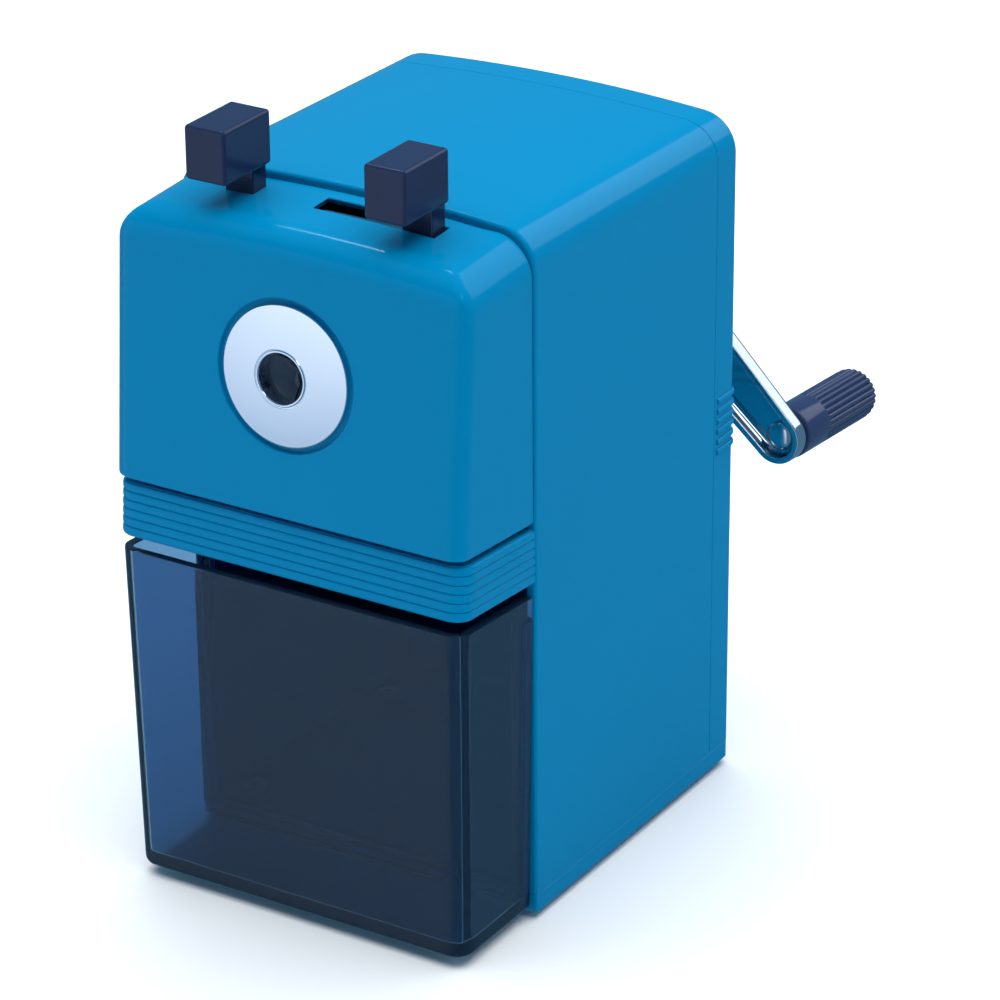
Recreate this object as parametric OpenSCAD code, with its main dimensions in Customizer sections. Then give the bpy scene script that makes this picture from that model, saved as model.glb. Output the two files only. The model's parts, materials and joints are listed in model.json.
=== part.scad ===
// Desk pencil sharpener with a hand crank. Millimetres, +Z up. The front faces -Y, and X runs to the
// right as seen from the front. The origin lies on the resting plane, under the middle of the base.
// The pencil, the cutter and the crank share one axis, which falls towards the back by axis_fall.

/* [Housing] */
// Width of the housing
body_w = 76; // [74:0.5:79]
// Height of the housing's roof at the front, above the underside of the base
body_h = 138; // [136:0.5:141]
// Depth of the housing shell, from its front edge to the seam of the rear cover
shell_d = 65.4; // [64:0.2:68]
// Depth of the rear cover
cover_d = 8.8; // [8.4:0.2:10]
// Wall thickness of the coloured mouldings
wall = 2.2; // [2:0.1:2.6]
// Radius of the long roof edges
roof_r = 7.5; // [6.5:0.5:9]
// Radius of the roof's crown, seen from the front
crown_r = 400; // [300:20:600]
// Angle by which the roof falls towards the back
roof_fall = 1.0; // [0.4:0.1:1.4]
// Height of the base plate's rim
base_h = 4.1; // [3.6:0.1:4.6]
// Height of the rubber pad that the sharpener rests on
pad_h = 1.5; // [1.2:0.1:2]

/* [Chuck head] */
// Fall of the pencil axis towards the back, and so the lean of the front face
axis_fall = 4.3; // [3.8:0.1:4.8]
// Height of the pencil axis at the front face, above the underside of the base
axis_h = 109.4; // [108.5:0.1:110.5]
// How far the front face stands before the housing, measured at the pencil axis
head_d = 22.64; // [22:0.02:23.4]
// Radius of the upright front edges of the chuck head and the band
front_r = 3.7; // [3:0.1:4.5]
// Radius of the chrome escutcheon
escutcheon_r = 13.3; // [13:0.1:13.6]
// Radius of the pencil hole
pencil_r = 4.9; // [4.7:0.05:5]
// Distance that the chuck head pulls out
head_travel = 28; // [24:1:30]

/* [Finger blocks] */
// Distance of each finger block from the middle
block_x = 18.9; // [18.6:0.1:19.2]
// Width of a finger block
block_w = 8.65; // [8:0.05:9]
// Depth of a finger block, front to back
block_d = 14.5; // [14:0.1:15]
// Height of a finger block without its stem
block_h = 10.3; // [9.8:0.1:10.8]
// Distance that the right block slides when the blocks are squeezed together
lever_travel = 17.5; // [16:0.5:17.5]

/* [Drawer] */
// Height of the drawer's top edge above the underside of the base
drawer_top = 66.4; // [65:0.2:67]
// Thickness of the drawer's walls
drawer_wall = 2.2; // [2:0.1:2.5]
// Radius of the drawer's upright front edges
drawer_r = 4.5; // [4:0.1:5]

/* [Crank] */
// Distance between the crank's axis and its handle
crank_l = 54.5; // [53:0.5:56]
// Angle of the crank arm below the horizontal
crank_angle = 41.5; // [0:0.5:90]
// Outer radius of the arm round the crank's axis
crank_hub_r = 7.3; // [7:0.1:8]
// Outer radius of the arm round the handle's pin
crank_tip_r = 5.1; // [4.8:0.1:5.6]
// Depth of the arm's channel section
crank_depth = 4.0; // [3.6:0.1:4.4]
// Radius of the handle
handle_r = 5.3; // [5:0.1:5.6]
// Length of the handle
handle_l = 29; // [27:0.5:30]

/* [Hidden] */

$fn = 64;
eps = 0.01;

// Colours
shell_blue = "#0A86C4";
dark_blue = "#2B3352";
smoke = "#31456E";
steel = "#B9C0C9";
bright = "#DCE3EC";
grey_plastic = "#4A4D55";
brass = "#C9A557";
rubber = "#26272A";
acetal = "#E8E6DF";

// Housing
half_w = body_w / 2;
origin_y = 37;                       // the front edge of the housing lies this far before the origin
front_y = -origin_y;
seam_y = front_y + shell_d;
back_y = seam_y + cover_d;
under_z = pad_h;
shell_z = under_z + base_h;
roof_z = under_z + body_h;
rear_edge_r = 2.5;
tall = 400;                          // longer than anything, for cutting shapes

// Pencil axis. Stations s run backwards along it from the rim of the escutcheon.
face_y = front_y - head_d;
axis_z = under_z + axis_h;
face_s = -0.3;

// Chuck head
head_half_w = 37.6;
head_floor_z = under_z + 82.3;       // lower edge of its front face
head_roof_z = under_z + 136.7;       // roof at the housing
head_roof_fall = 2.8;                // its roof falls towards the front
head_edge_r = 5;                     // front roof edge
head_side_r = 7;
head_back_y = front_y - 0.4;
recess_r = 14.4;
recess_s = 0.6;

// Finger blocks and lever
block_y = front_y - 18.8;
block_top_z = under_z + 151.2;
block_z = block_top_z - block_h;
block_edge = 0.7;
stem_w = 6.1;
stem_y = front_y - 8.4;
stem_d = 4.4;
slot_left = -2.9;
slot_right = 22.6;
slot_play = 0.35;
lever_s = [14.9, 16.9];
lever_top = 24.6;
fork_low = 14.5;
fork_top = 21.9;
ear_r = 20;                          // radius of the cam ring's drive pin
ear_pin_r = 1.0;
ear_half_angle = asin(lever_travel / 2 / ear_r);

// Jaws and cam
jaw_s = [6.6, 12.2];
jaw_travel = 3.4;
jaw_half_w = 5;
jaw_nose_r = 0.9;
jaw_back_r = 9.6;
jaw_pin_r = 0.8;
jaw_pin_at = 7.8;
cam_s = [12.6, 14.4];
cam_hub_r = 5.8;
cam_play = 0.06;
chuck_screw_at = [[-28, 16], [28, 16], [28, -17], [-28, -17]];
cam_slot_half = 1.2;
plate_s = [17.3, 19.5];
rod_x = 29;
rod_r = 2;
rod_s = [3.5, 76];
clip_s = [73.4, 74.4];
spring_r = 3.0;
spring_wire_r = 0.4;
spring_turns = 13;

// Bulkhead and gears
bulkhead_s = [25.2, 28.2];
collar_r = 7.2;
case_s = [28.2, 50];
case_r = [22.1, 24.4];
cutter_tilt = 10.5;
apex_s = 99.7;                       // the cutter's axis meets the pencil axis here
gear_s = [31.3, 34.8];
pinion_teeth = 12;
ring_teeth = 36;
gear_module = 1.011;
axle_r = 1.5;
sleeve_r = 2.6;
cutter_r = 6.2;
cutter_s = [36.6, 64];
carrier_front_s = [28.5, 29.6];
carrier_back_s = [66.4, 69.4];
shaft_r = 3;
fit = 0.05;                          // radial play of a running fit

// Crank
boss_s = [90, 108.2];
boss_r = 8.5;
bush_r = 5;
arm_s = 110.8;                       // the arm's open side
arm_wall = 1.3;
pin_r = 2.2;
nut_s = [115, 118.4];
collar_len = 8.4;                    // smooth collar of the handle
handle_s = arm_s + crank_depth + 0.5;

// Drawer
drawer_front_y = front_y - 25.0;
drawer_lean = 1.3;                   // its front draws back by this much towards the floor
drawer_draft = 0.9;                  // each side draws in by this much towards the floor
drawer_z = under_z + 0.8;
drawer_edge_r = 1.4;
drawer_rim_rise = -0.4;                // its rim's rear end above drawer_top; the rim leans with the band
tub_half_w = 34.6;
tub_z = shell_z + 0.6;
tub_back_y = front_y + 52;
tub_wall = 1.8;
drawer_join_y = front_y - 0.6;

// Front band, laid out square to the pencil axis
band_half_w = 37.8;
band_front_y = front_y - 24.7;
band_low_z = under_z + 70.3;
band_h = 10.9;
rib_pitch = 2.12;
rib_count = 6;
rib_r = 0.62;

screw_x = 31;
cover_screw_z = [under_z + 20, under_z + 121];
base_screw_y = [front_y + 57, front_y + 9];

// ---------------------------------------------------------------- helpers

// A 2D outline drawn in X and Z, carried from y0 to y1
module along_y(y0, y1) {
    translate([0, y1, 0]) rotate([90, 0, 0]) linear_extrude(y1 - y0) children();
}

// A 2D outline drawn in Y and Z, carried from x0 to x1
module along_x(x0, x1) {
    translate([x0, 0, 0]) rotate([90, 0, 90]) linear_extrude(x1 - x0) children();
}

// Places its children on the pencil axis at station s: x to the right, y up, z towards the front
module on_axis(s) {
    translate([0, face_y, axis_z]) rotate([90 - axis_fall, 0, 0]) translate([0, 0, -s]) children();
}

// A slice across the pencil axis, between two stations
module slice(s) {
    on_axis(s[1]) linear_extrude(s[1] - s[0]) children();
}

// Places its children on the cutter's own axis, t before the apex
module on_cutter(t) {
    on_axis(apex_s) rotate([cutter_tilt, 0, 0]) translate([0, 0, t]) children();
}

// Station s as a distance from the apex, measured along the cutter's axis
function cutter_t(s) = (apex_s - s) / cos(cutter_tilt);

// Places its children on the handle's pin, with the arm hanging at its resting angle
module on_pin(s) {
    on_axis(s) rotate([0, 0, -crank_angle]) translate([crank_l, 0, 0]) children();
}

module ring_2d(outer, inner) {
    difference() {
        circle(outer);
        circle(inner);
    }
}

// Outline with a crowned top edge and two round upper corners that run smoothly into it
module arch_2d(half, top, corner, crown) {
    centre_z = top - crown + sqrt(pow(crown - corner, 2) - pow(half - corner, 2));
    touch_x = (half - corner) * crown / (crown - corner);
    intersection() {
        translate([0, top - crown]) circle(crown, $fn = 720);
        translate([-touch_x, 0]) square([2 * touch_x, top + 1]);
    }
    translate([-half, -20]) square([2 * half, centre_z + 20]);
    for (side = [-1, 1]) translate([side * (half - corner), centre_z]) circle(corner);
}

// Rectangle in plan with round corners at its back end
module round_back_2d(half, y0, y1, r) {
    translate([-half, y0]) square([2 * half, y1 - y0 - r]);
    translate([-half + r, y0]) square([2 * (half - r), y1 - y0]);
    for (side = [-1, 1]) translate([side * (half - r), y1 - r]) circle(r);
}

// Rectangle in plan with round corners at its front end
module round_front_2d(half, y0, y1, r) {
    translate([-half, y0 + r]) square([2 * half, y1 - y0 - r]);
    translate([-half + r, y0]) square([2 * (half - r), y1 - y0]);
    for (side = [-1, 1]) translate([side * (half - r), y0 + r]) circle(r);
}

// Rectangle with round corners, from the origin
module round_rect_2d(w, h, r) {
    translate([r, 0]) square([w - 2 * r, h]);
    translate([0, r]) square([w, h - 2 * r]);
    for (x = [r, w - r], y = [r, h - r]) translate([x, y]) circle(r);
}

// Box whose edges are round in all three directions
module rounded_box(size, r) {
    intersection() {
        linear_extrude(size[2]) round_rect_2d(size[0], size[1], r);
        along_y(0, size[1]) round_rect_2d(size[0], size[2], r);
        along_x(0, size[0]) round_rect_2d(size[1], size[2], r);
    }
}

// The housing's outer form, drawn in by inset, from y0 to y1 and up from z0
module housing_form(inset, y0, y1, z0) {
    intersection() {
        translate([0, front_y, roof_z]) rotate([-roof_fall, 0, 0]) translate([0, 0, -roof_z])
            along_y(-10, shell_d + cover_d + 10)
                arch_2d(half_w - inset, roof_z - inset, roof_r - inset * 0.6, crown_r);
        translate([-tall / 2, y0, z0]) cube([tall, y1 - y0, tall]);
    }
}

// Tear-shaped outline round two circles
module tear_2d(r0, r1, length) {
    hull() {
        circle(r0);
        translate([length, 0]) circle(r1);
    }
}

// Toothed outline: half widths of the teeth are given at the root and at the tip
module teeth_2d(count, root, tip, root_half, tip_half, phase) {
    polygon([for (i = [0 : count - 1], k = [0 : 3])
        let (r = (k == 1 || k == 2) ? tip : root,
             half = (k == 1 || k == 2) ? tip_half : root_half,
             a = phase + i * 360 / count + (k < 2 ? -1 : 1) * half / r * 180 / PI)
        [r * cos(a), r * sin(a)]]);
}

// A pan-head screw that points towards -Z, with its head above the plane z = 0
module screw(r, length) {
    translate([0, 0, -length]) cylinder(h = length, r = r);
    difference() {
        cylinder(h = 1.6, r = 2 * r);
        translate([-r, -0.35, 0.8]) cube([2 * r, 0.7, 2]);
        translate([-0.35, -r, 0.8]) cube([0.7, 2 * r, 2]);
    }
}

// A coil spring as a swept tube along +Z
module coil(length, mean_r, wire_r, turns) {
    sides = 6;
    per_turn = 12;
    rings = turns * per_turn;
    rise = length / rings;
    points = [for (i = [0 : rings], k = [0 : sides - 1])
        let (a = i * 360 / per_turn, b = k * 360 / sides, r = mean_r + wire_r * cos(b))
        [r * cos(a), r * sin(a), i * rise + wire_r * sin(b)]];
    faces = concat(
        [[for (k = [0 : sides - 1]) k]],
        [for (i = [0 : rings - 1], k = [0 : sides - 1])
            let (a = i * sides + k, b = i * sides + (k + 1) % sides)
            [a, a + sides, b + sides, b]],
        [[for (k = [sides - 1 : -1 : 0]) rings * sides + k]]);
    polyhedron(points, faces, convexity = 10);
}

// ---------------------------------------------------------------- housing

// Screw posts for the rear cover, along the inside of the shell
module cover_post(x, z) {
    translate([x, seam_y, z]) rotate([90, 0, 0]) children();
}

module housing_shell() {
    color(shell_blue) difference() {
        union() {
            difference() {
                housing_form(0, front_y, seam_y, shell_z);
                housing_form(wall, front_y - 1, seam_y + 1, 0);
            }
            for (side = [-1, 1], z = cover_screw_z) cover_post(side * screw_x, z) {
                cylinder(h = 11, r = 3.4);
            }
            for (side = [-1, 1], z = cover_screw_z)
                translate([side > 0 ? screw_x : -half_w + wall / 2, seam_y - 11, z - 1.2])
                    cube([half_w - wall / 2 - screw_x, 11, 2.4]);
        }
        for (side = [-1, 1], z = cover_screw_z) cover_post(side * screw_x, z)
            translate([0, 0, -1]) cylinder(h = 10, r = 1.3);
    }
}

module base_plate() {
    color(shell_blue) difference() {
        linear_extrude(base_h) round_back_2d(half_w, front_y, back_y, rear_edge_r);
        translate([0, 0, wall]) linear_extrude(base_h)
            round_back_2d(half_w - wall, front_y + wall, back_y - wall, 1);
        for (side = [-1, 1], y = base_screw_y)
            translate([side * screw_x, y, -1]) cylinder(h = base_h, r = 1.7);
    }
}

module cover_rib(z) {
    translate([0, 0, z]) {
        for (side = [-1, 1]) translate([side * (half_w - 0.15), seam_y + 1.2, 0]) rotate([-90, 0, 0])
            cylinder(h = cover_d - 3.2, r = rib_r);
        translate([-half_w + 3, back_y - 0.15, 0]) rotate([0, 90, 0])
            cylinder(h = 2 * (half_w - 3), r = rib_r);
    }
}

module rear_cover() {
    inner_y = back_y - wall;
    color(shell_blue) difference() {
        union() {
            difference() {
                intersection() {
                    housing_form(0, seam_y + eps, back_y, shell_z);
                    linear_extrude(tall) round_back_2d(half_w, front_y, back_y, rear_edge_r);
                }
                housing_form(wall, seam_y - 1, inner_y, 0);
            }
            for (i = [0 : rib_count - 1]) cover_rib(band_low_z - 1 + i * rib_pitch);
            slice(boss_s) circle(boss_r);
            slice([boss_s[0] + 5.2, 102]) circle(13);
            for (side = [-1, 1], z = cover_screw_z)
                translate([side * screw_x, inner_y + eps, z]) rotate([90, 0, 0])
                    cylinder(h = inner_y - seam_y - 0.2, r = 3.4);
        }
        slice([boss_s[0] - 5, boss_s[1] + 5]) circle(bush_r + 0.02);
        translate([-tall / 2, seam_y - 30, 0]) cube([tall, 30 + eps, tall]);
        for (side = [-1, 1], z = cover_screw_z) translate([side * screw_x, back_y, z]) {
            rotate([90, 0, 0]) translate([0, 0, -2]) cylinder(h = 14, r = 1.7);
            rotate([90, 0, 0]) translate([0, 0, -2]) cylinder(h = 4.2, r = 3.2);
        }
    }
}

// The belt below the chuck head: a shelf that is open underneath
module front_band() {
    run = 30;
    color(shell_blue) translate([0, band_front_y, band_low_z]) rotate([-axis_fall, 0, 0])
        intersection() {
            difference() {
                union() {
                    linear_extrude(band_h) round_front_2d(band_half_w - 0.35, 0.35, run, front_r);
                    for (i = [0 : rib_count - 1]) band_rib(0.25 + (i + 0.18) * rib_pitch * 0.94, run);
                }
                translate([0, 0, -1]) linear_extrude(band_h - wall + 1)
                    round_front_2d(band_half_w - 0.35 - wall, 0.35 + wall, run + 1, 1.5);
            }
            translate([-tall / 2, -5, 0]) rotate([axis_fall, 0, 0])
                translate([0, 0, -20]) cube([tall, front_y - band_front_y + 5 - 0.1, tall]);
        }
}

// One half-round rib that follows the band round its corners
module band_rib(z, run) {
    corner_x = band_half_w - 0.35 - front_r;
    corner_y = 0.35 + front_r;
    translate([0, 0, z + rib_r * 0.5]) {
        translate([-corner_x, 0.35, 0]) rotate([0, 90, 0]) cylinder(h = 2 * corner_x, r = rib_r);
        for (side = [-1, 1]) {
            translate([side * (band_half_w - 0.35), corner_y, 0]) rotate([-90, 0, 0])
                cylinder(h = run - corner_y, r = rib_r);
            translate([side * corner_x, corner_y, 0]) rotate([0, 0, side > 0 ? -90 : 180])
                rotate_extrude(angle = 90) translate([front_r, 0]) circle(rib_r, $fn = 24);
        }
    }
}

module bulkhead() {
    half = half_w - wall;
    top = 24.4;
    r = 6;
    color(grey_plastic) difference() {
        slice(bulkhead_s) difference() {
            union() {
                translate([-half, -26]) square([2 * half, top + 26 - r]);
                translate([-half + r, -26]) square([2 * (half - r), top + 26]);
                for (side = [-1, 1]) translate([side * (half - r), top - r]) circle(r);
            }
            circle(collar_r + fit);
            for (side = [-1, 1]) translate([side * rod_x, 0]) circle(3.2);
        }
    }
}

module rod_bushes() {
    color(acetal) for (side = [-1, 1]) {
        slice([bulkhead_s[0] - 0.4, bulkhead_s[1]]) translate([side * rod_x, 0])
            ring_2d(3.17, rod_r + fit);
        slice([bulkhead_s[0] - 1.4, bulkhead_s[0] - 0.4]) translate([side * rod_x, 0])
            ring_2d(4.2, rod_r + fit);
    }
}

// Cage round the cutter, open underneath for the shavings
module gear_case() {
    color(grey_plastic) slice(case_s) difference() {
        ring_2d(case_r[1], case_r[0]);
        polygon([[0, 0], [-40, -27], [-40, -60], [40, -60], [40, -27]]);
    }
}

module ring_gear() {
    pitch_r = ring_teeth * gear_module / 2;      // at the back of the gear
    grow = (apex_s - gear_s[0]) / (apex_s - gear_s[1]);
    color(steel) on_axis(gear_s[1]) linear_extrude(gear_s[1] - gear_s[0], scale = grow)
        difference() {
            circle(20.6);
            teeth_2d(ring_teeth, pitch_r - 0.75, pitch_r + 0.97, 1.17, 0.63, -90);
        }
}

module shaft_bush() {
    color(brass) {
        slice([boss_s[0] + 0.2, boss_s[1]]) ring_2d(bush_r, shaft_r + fit);
        slice([boss_s[1], boss_s[1] + 1]) ring_2d(7, shaft_r + fit);
    }
}

module foot_pad() {
    half = [26, 27];
    bar = 12;
    color(rubber) {
        for (side = [-1, 1]) translate([side * (half[0] - bar / 2) - bar / 2, -half[1], 0])
            cube([bar, 2 * half[1], pad_h]);
        translate([-half[0], -bar / 2, 0]) cube([2 * half[0], bar, pad_h]);
    }
}

module cover_screws() {
    color(steel) for (side = [-1, 1], z = cover_screw_z)
        translate([side * screw_x, back_y - 2.2, z]) rotate([-90, 0, 0]) screw(1.3, 13);
}

module base_screws() {
    color(steel) for (side = [-1, 1], y = base_screw_y)
        translate([side * screw_x, y, under_z + wall]) screw(1.2, wall - 0.2);
}

// ---------------------------------------------------------------- chuck head

// Outer form of the chuck head, drawn in by inset
module head_form(inset) {
    front = face_s + inset;
    lower = (axis_z - head_floor_z) / cos(axis_fall);
    intersection() {
        along_y(face_y - 10, head_back_y)
            arch_2d(head_half_w - inset, head_roof_z - inset, head_side_r - inset * 0.6, crown_r);
        // upright front edges, square to the pencil axis
        on_axis(-10) rotate([90, 0, 0]) translate([0, 0, -60]) linear_extrude(120)
            mirror([0, 1]) translate([0, 10])
                round_front_2d(head_half_w - inset, front, 60, front_r - inset * 0.5);
        // side outline: leaning face, rising floor, roof that falls to the front
        along_x(-half_w, half_w) head_side_2d(inset, front, lower);
    }
}

// The side outline in Y and Z
module head_side_2d(inset, front, lower) {
    r = head_edge_r - inset * 0.5;
    fall = axis_fall;
    face_point = [face_y + front * cos(fall), axis_z - front * sin(fall)];
    roof_point = [front_y, head_roof_z - inset];
    // where the face's line and the roof's line meet
    roof_dir = [-cos(head_roof_fall), -sin(head_roof_fall)];
    face_dir = [sin(fall), cos(fall)];
    det = roof_dir[0] * -face_dir[1] + roof_dir[1] * face_dir[0];
    gap = face_point - roof_point;
    along = (gap[0] * -face_dir[1] + gap[1] * face_dir[0]) / det;
    corner = roof_point + along * roof_dir;
    // centre of the edge radius lies r inside both lines
    roof_in = [sin(head_roof_fall), -cos(head_roof_fall)];
    face_in = [cos(fall), -sin(fall)];
    open = 90 + head_roof_fall - fall;
    reach = r / sin(open / 2);
    bisector = (roof_in + face_in) / norm(roof_in + face_in);
    centre = corner + reach * bisector;
    floor_point = face_point - face_dir * (lower - inset + front * tan(fall));
    union() {
        polygon([
            centre,
            centre - r * roof_in,
            [front_y + 40, head_roof_z - inset + 40 * tan(head_roof_fall)],
            floor_point + 80 * face_in,
            floor_point,
            centre - r * face_in
        ]);
        translate(centre) circle(r);
    }
}

module carriage_shell() {
    color(shell_blue) difference() {
        union() {
            difference() {
                head_form(0);
                intersection() {
                    head_form(wall);
                    translate([-half_w, face_y, 0]) cube([body_w, 60, tall]);
                }
            }
            for (p = chuck_screw_at) slice([1, plate_s[0]]) translate(p) circle(3);
            for (side = [-1, 1]) slice([1, rod_s[0] + 8]) translate([side * rod_x, 0]) circle(4.2);
        }
        slice([-3, 4]) circle(6.9);
        slice([-3, recess_s]) circle(recess_r);
        for (p = chuck_screw_at) slice([8, plate_s[0] + 1]) translate(p) circle(1.3);
        for (side = [-1, 1]) slice([rod_s[0], rod_s[0] + 12]) translate([side * rod_x, 0])
            circle(rod_r + 0.02);
        // slot of the sliding block's stem
        translate([slot_left, stem_y - slot_play, head_roof_z - 8])
            cube([slot_right - slot_left, stem_d + 2 * slot_play, 12]);
        // socket of the fixed block's stem
        translate([-block_x - stem_w / 2 - 0.02, stem_y - 0.02, head_roof_z - 8])
            cube([stem_w + 0.04, stem_d + 0.04, 12]);
    }
}

// Shallow chrome dome with the pencil hole and a tube that carries nothing but the pencil
module escutcheon() {
    dome_r = 52;
    lip_r = pencil_r + 0.5;
    drop = dome_r - sqrt(pow(dome_r, 2) - pow(escutcheon_r, 2));
    function dome(r) = 0.35 + sqrt(pow(dome_r, 2) - r * r) - dome_r + drop;
    color(bright) on_axis(0) rotate_extrude() polygon(concat(
        [[pencil_r, -6], [pencil_r, dome(lip_r) - 0.5], [lip_r, dome(lip_r)]],
        [for (i = [1 : 8]) let (r = lip_r + (escutcheon_r - lip_r) * i / 8) [r, dome(r)]],
        [[escutcheon_r, -recess_s + 0.02], [6.3, -recess_s + 0.02], [6.3, -6]]));
}

// Plate with three radial channels in which the jaws slide
module jaw_guide() {
    color(grey_plastic) slice([jaw_s[0] - 0.1, jaw_s[1] + 0.1]) difference() {
        ring_2d(17, 7.2);
        for (k = [0 : 2]) rotate(90 + 120 * k) translate([0, -jaw_half_w - 0.3])
            square([jaw_back_r + jaw_travel + 0.6, 2 * jaw_half_w + 0.6]);
    }
}

module chuck_plate() {
    color(grey_plastic) {
        difference() {
            slice(plate_s) difference() {
                translate([-33, -22]) square([66, 45]);
                circle(pencil_r + 0.1);
                for (p = chuck_screw_at) translate(p) circle(1.7);
                for (side = [-1, 1]) translate([side * rod_x, 0]) circle(rod_r + 0.02);
            }
        }
        slice([cam_s[0], plate_s[0]]) ring_2d(cam_hub_r, pencil_r + 0.1);
        // three posts that carry the jaw guide
        for (k = [0 : 2]) slice([jaw_s[1] + 0.1, plate_s[0]]) rotate(30 + 120 * k)
            translate([15.4, 0]) circle(1.5);
    }
}

module block(x) {
    translate([x - block_w / 2, block_y, block_z]) rounded_box([block_w, block_d, block_h], block_edge);
}

module finger_rest() {
    color(dark_blue) {
        block(-block_x);
        translate([-block_x - stem_w / 2, stem_y, head_roof_z - 5])
            cube([stem_w, stem_d, block_z + 1 - head_roof_z + 5]);
    }
}

module guide_rods() {
    color(steel) for (side = [-1, 1]) slice(rod_s) translate([side * rod_x, 0]) circle(rod_r);
}

module rod_clips() {
    color(steel) for (side = [-1, 1]) slice(clip_s) translate([side * rod_x, 0])
        ring_2d(3.8, rod_r + 0.01);
}

module chuck_screws() {
    color(steel) for (p = chuck_screw_at)
        on_axis(plate_s[1]) translate(p) mirror([0, 0, 1]) screw(1.2, 8);
}

module feed_spring(side) {
    color(steel) on_axis(clip_s[0] - spring_wire_r - 0.05) translate([side * rod_x, 0, 0])
        coil(clip_s[0] - bulkhead_s[1] - 2 * spring_wire_r - 0.1, spring_r, spring_wire_r, spring_turns);
}

module feed_spring_left() {
    feed_spring(-1);
}

module feed_spring_right() {
    feed_spring(1);
}

// ---------------------------------------------------------------- chuck drive

// Spiral slot in the cam ring: it moves a jaw's pin outwards as the ring turns
module cam_slot_2d(angle) {
    turn = 2 * ear_half_angle;
    steps = 14;
    start = -9.5;
    end = turn + 8;
    function at(i) = start + (end - start) * i / steps;
    function mid(a) = jaw_pin_at + jaw_travel * a / turn;
    polygon(concat(
        [for (i = [0 : steps]) let (a = at(i)) (mid(a) + cam_slot_half) * [cos(angle - a), sin(angle - a)]],
        [for (i = [steps : -1 : 0]) let (a = at(i)) (mid(a) - cam_slot_half) * [cos(angle - a), sin(angle - a)]]));
}

module cam_ring() {
    color(steel) {
        slice(cam_s) difference() {
            union() {
                circle(13.6);
                rotate(90 - ear_half_angle) translate([11, -2.2]) square([ear_r + 1.4 - 11, 4.4]);
            }
            circle(cam_hub_r + cam_play);
            for (k = [0 : 2]) cam_slot_2d(90 + 120 * k);
        }
        slice([cam_s[1], lever_s[1] - 0.2]) rotate(90 - ear_half_angle) translate([ear_r, 0])
            circle(ear_pin_r);
    }
}

// Sliding plate under the roof, forked over the cam ring's pin, with the stem of the right block
module chuck_lever() {
    fork_x = lever_travel / 2;
    fork_half = ear_pin_r + 0.4;
    color(grey_plastic) {
        slice(lever_s) difference() {
            translate([4.6, fork_low]) square([18.4, lever_top - fork_low]);
            translate([fork_x - fork_half, fork_low - 1]) square([2 * fork_half, fork_top - fork_low + 1]);
        }
        translate([block_x - stem_w / 2, stem_y, head_roof_z - 4.4])
            cube([stem_w, stem_d, block_z + 1.5 - head_roof_z + 4.4]);
    }
}

module lever_block() {
    color(dark_blue) difference() {
        block(block_x);
        translate([block_x - stem_w / 2, stem_y, block_z - 1]) cube([stem_w, stem_d, 2.5]);
    }
}

// A jaw with a wedge-shaped nose; its pin reaches back into the cam ring
module chuck_jaw(angle) {
    spread = 56;
    side_at = jaw_half_w / tan(spread);
    color(dark_blue) {
        slice(jaw_s) rotate(angle) polygon([
            [jaw_nose_r, -jaw_nose_r * 0.7],
            [side_at + jaw_nose_r * 0.5, -jaw_half_w],
            [jaw_back_r, -jaw_half_w],
            [jaw_back_r, jaw_half_w],
            [side_at + jaw_nose_r * 0.5, jaw_half_w],
            [jaw_nose_r, jaw_nose_r * 0.7]
        ]);
        slice([jaw_s[1], cam_s[1] - 0.2]) rotate(angle) translate([jaw_pin_at, 0]) circle(jaw_pin_r);
    }
}

module chuck_jaw_a() {
    chuck_jaw(90);
}

module chuck_jaw_b() {
    chuck_jaw(210);
}

module chuck_jaw_c() {
    chuck_jaw(330);
}

// ---------------------------------------------------------------- crank and cutter

module crank_shaft() {
    color(steel) {
        slice([carrier_back_s[0], nut_s[1] + 0.8]) circle(shaft_r);
        slice([boss_s[1] + 1.3, arm_s + crank_depth - arm_wall]) ring_2d(4.6, shaft_r - eps);
        slice([carrier_back_s[1], carrier_back_s[1] + 1]) ring_2d(5, shaft_r - eps);
    }
}

// Open frame that swings the cutter round the pencil
module cutter_carrier() {
    color(steel) difference() {
        union() {
            slice(carrier_front_s) ring_2d(15.2, 4.8);
            slice([bulkhead_s[0], carrier_front_s[0]]) ring_2d(collar_r, 4.8);
            slice(carrier_back_s) ring_2d(15.2, shaft_r + 0.02);
            for (side = [-1, 1]) slice([carrier_front_s[1], carrier_back_s[0]])
                rotate(90 + side * 42) translate([11.4, -3]) square([3.4, 6]);
        }
        on_cutter(0) cylinder(h = 100, r = axle_r + 0.02);
    }
}

module cutter_axle() {
    color(steel) on_cutter(cutter_t(carrier_back_s[1] - 0.6))
        cylinder(h = cutter_t(carrier_front_s[0]) - cutter_t(carrier_back_s[1] - 0.6), r = axle_r);
}

module cutter_sleeve() {
    from = cutter_t(cutter_s[1] + 1);
    to = cutter_t(gear_s[0] - 0.4);
    color(brass) on_cutter(from) difference() {
        cylinder(h = to - from, r = sleeve_r);
        translate([0, 0, -1]) cylinder(h = to - from + 2, r = axle_r + fit);
    }
}

// Spiral blades on a drum
module helical_cutter() {
    from = cutter_t(cutter_s[1]);
    to = cutter_t(cutter_s[0]);
    color(steel) on_cutter(from) linear_extrude(to - from, twist = 110, slices = 10) difference() {
        teeth_2d(11, cutter_r - 1.1, cutter_r, 1.0, 0.35, 0);
        circle(sleeve_r + 0.1, $fn = 24);
    }
}

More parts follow.
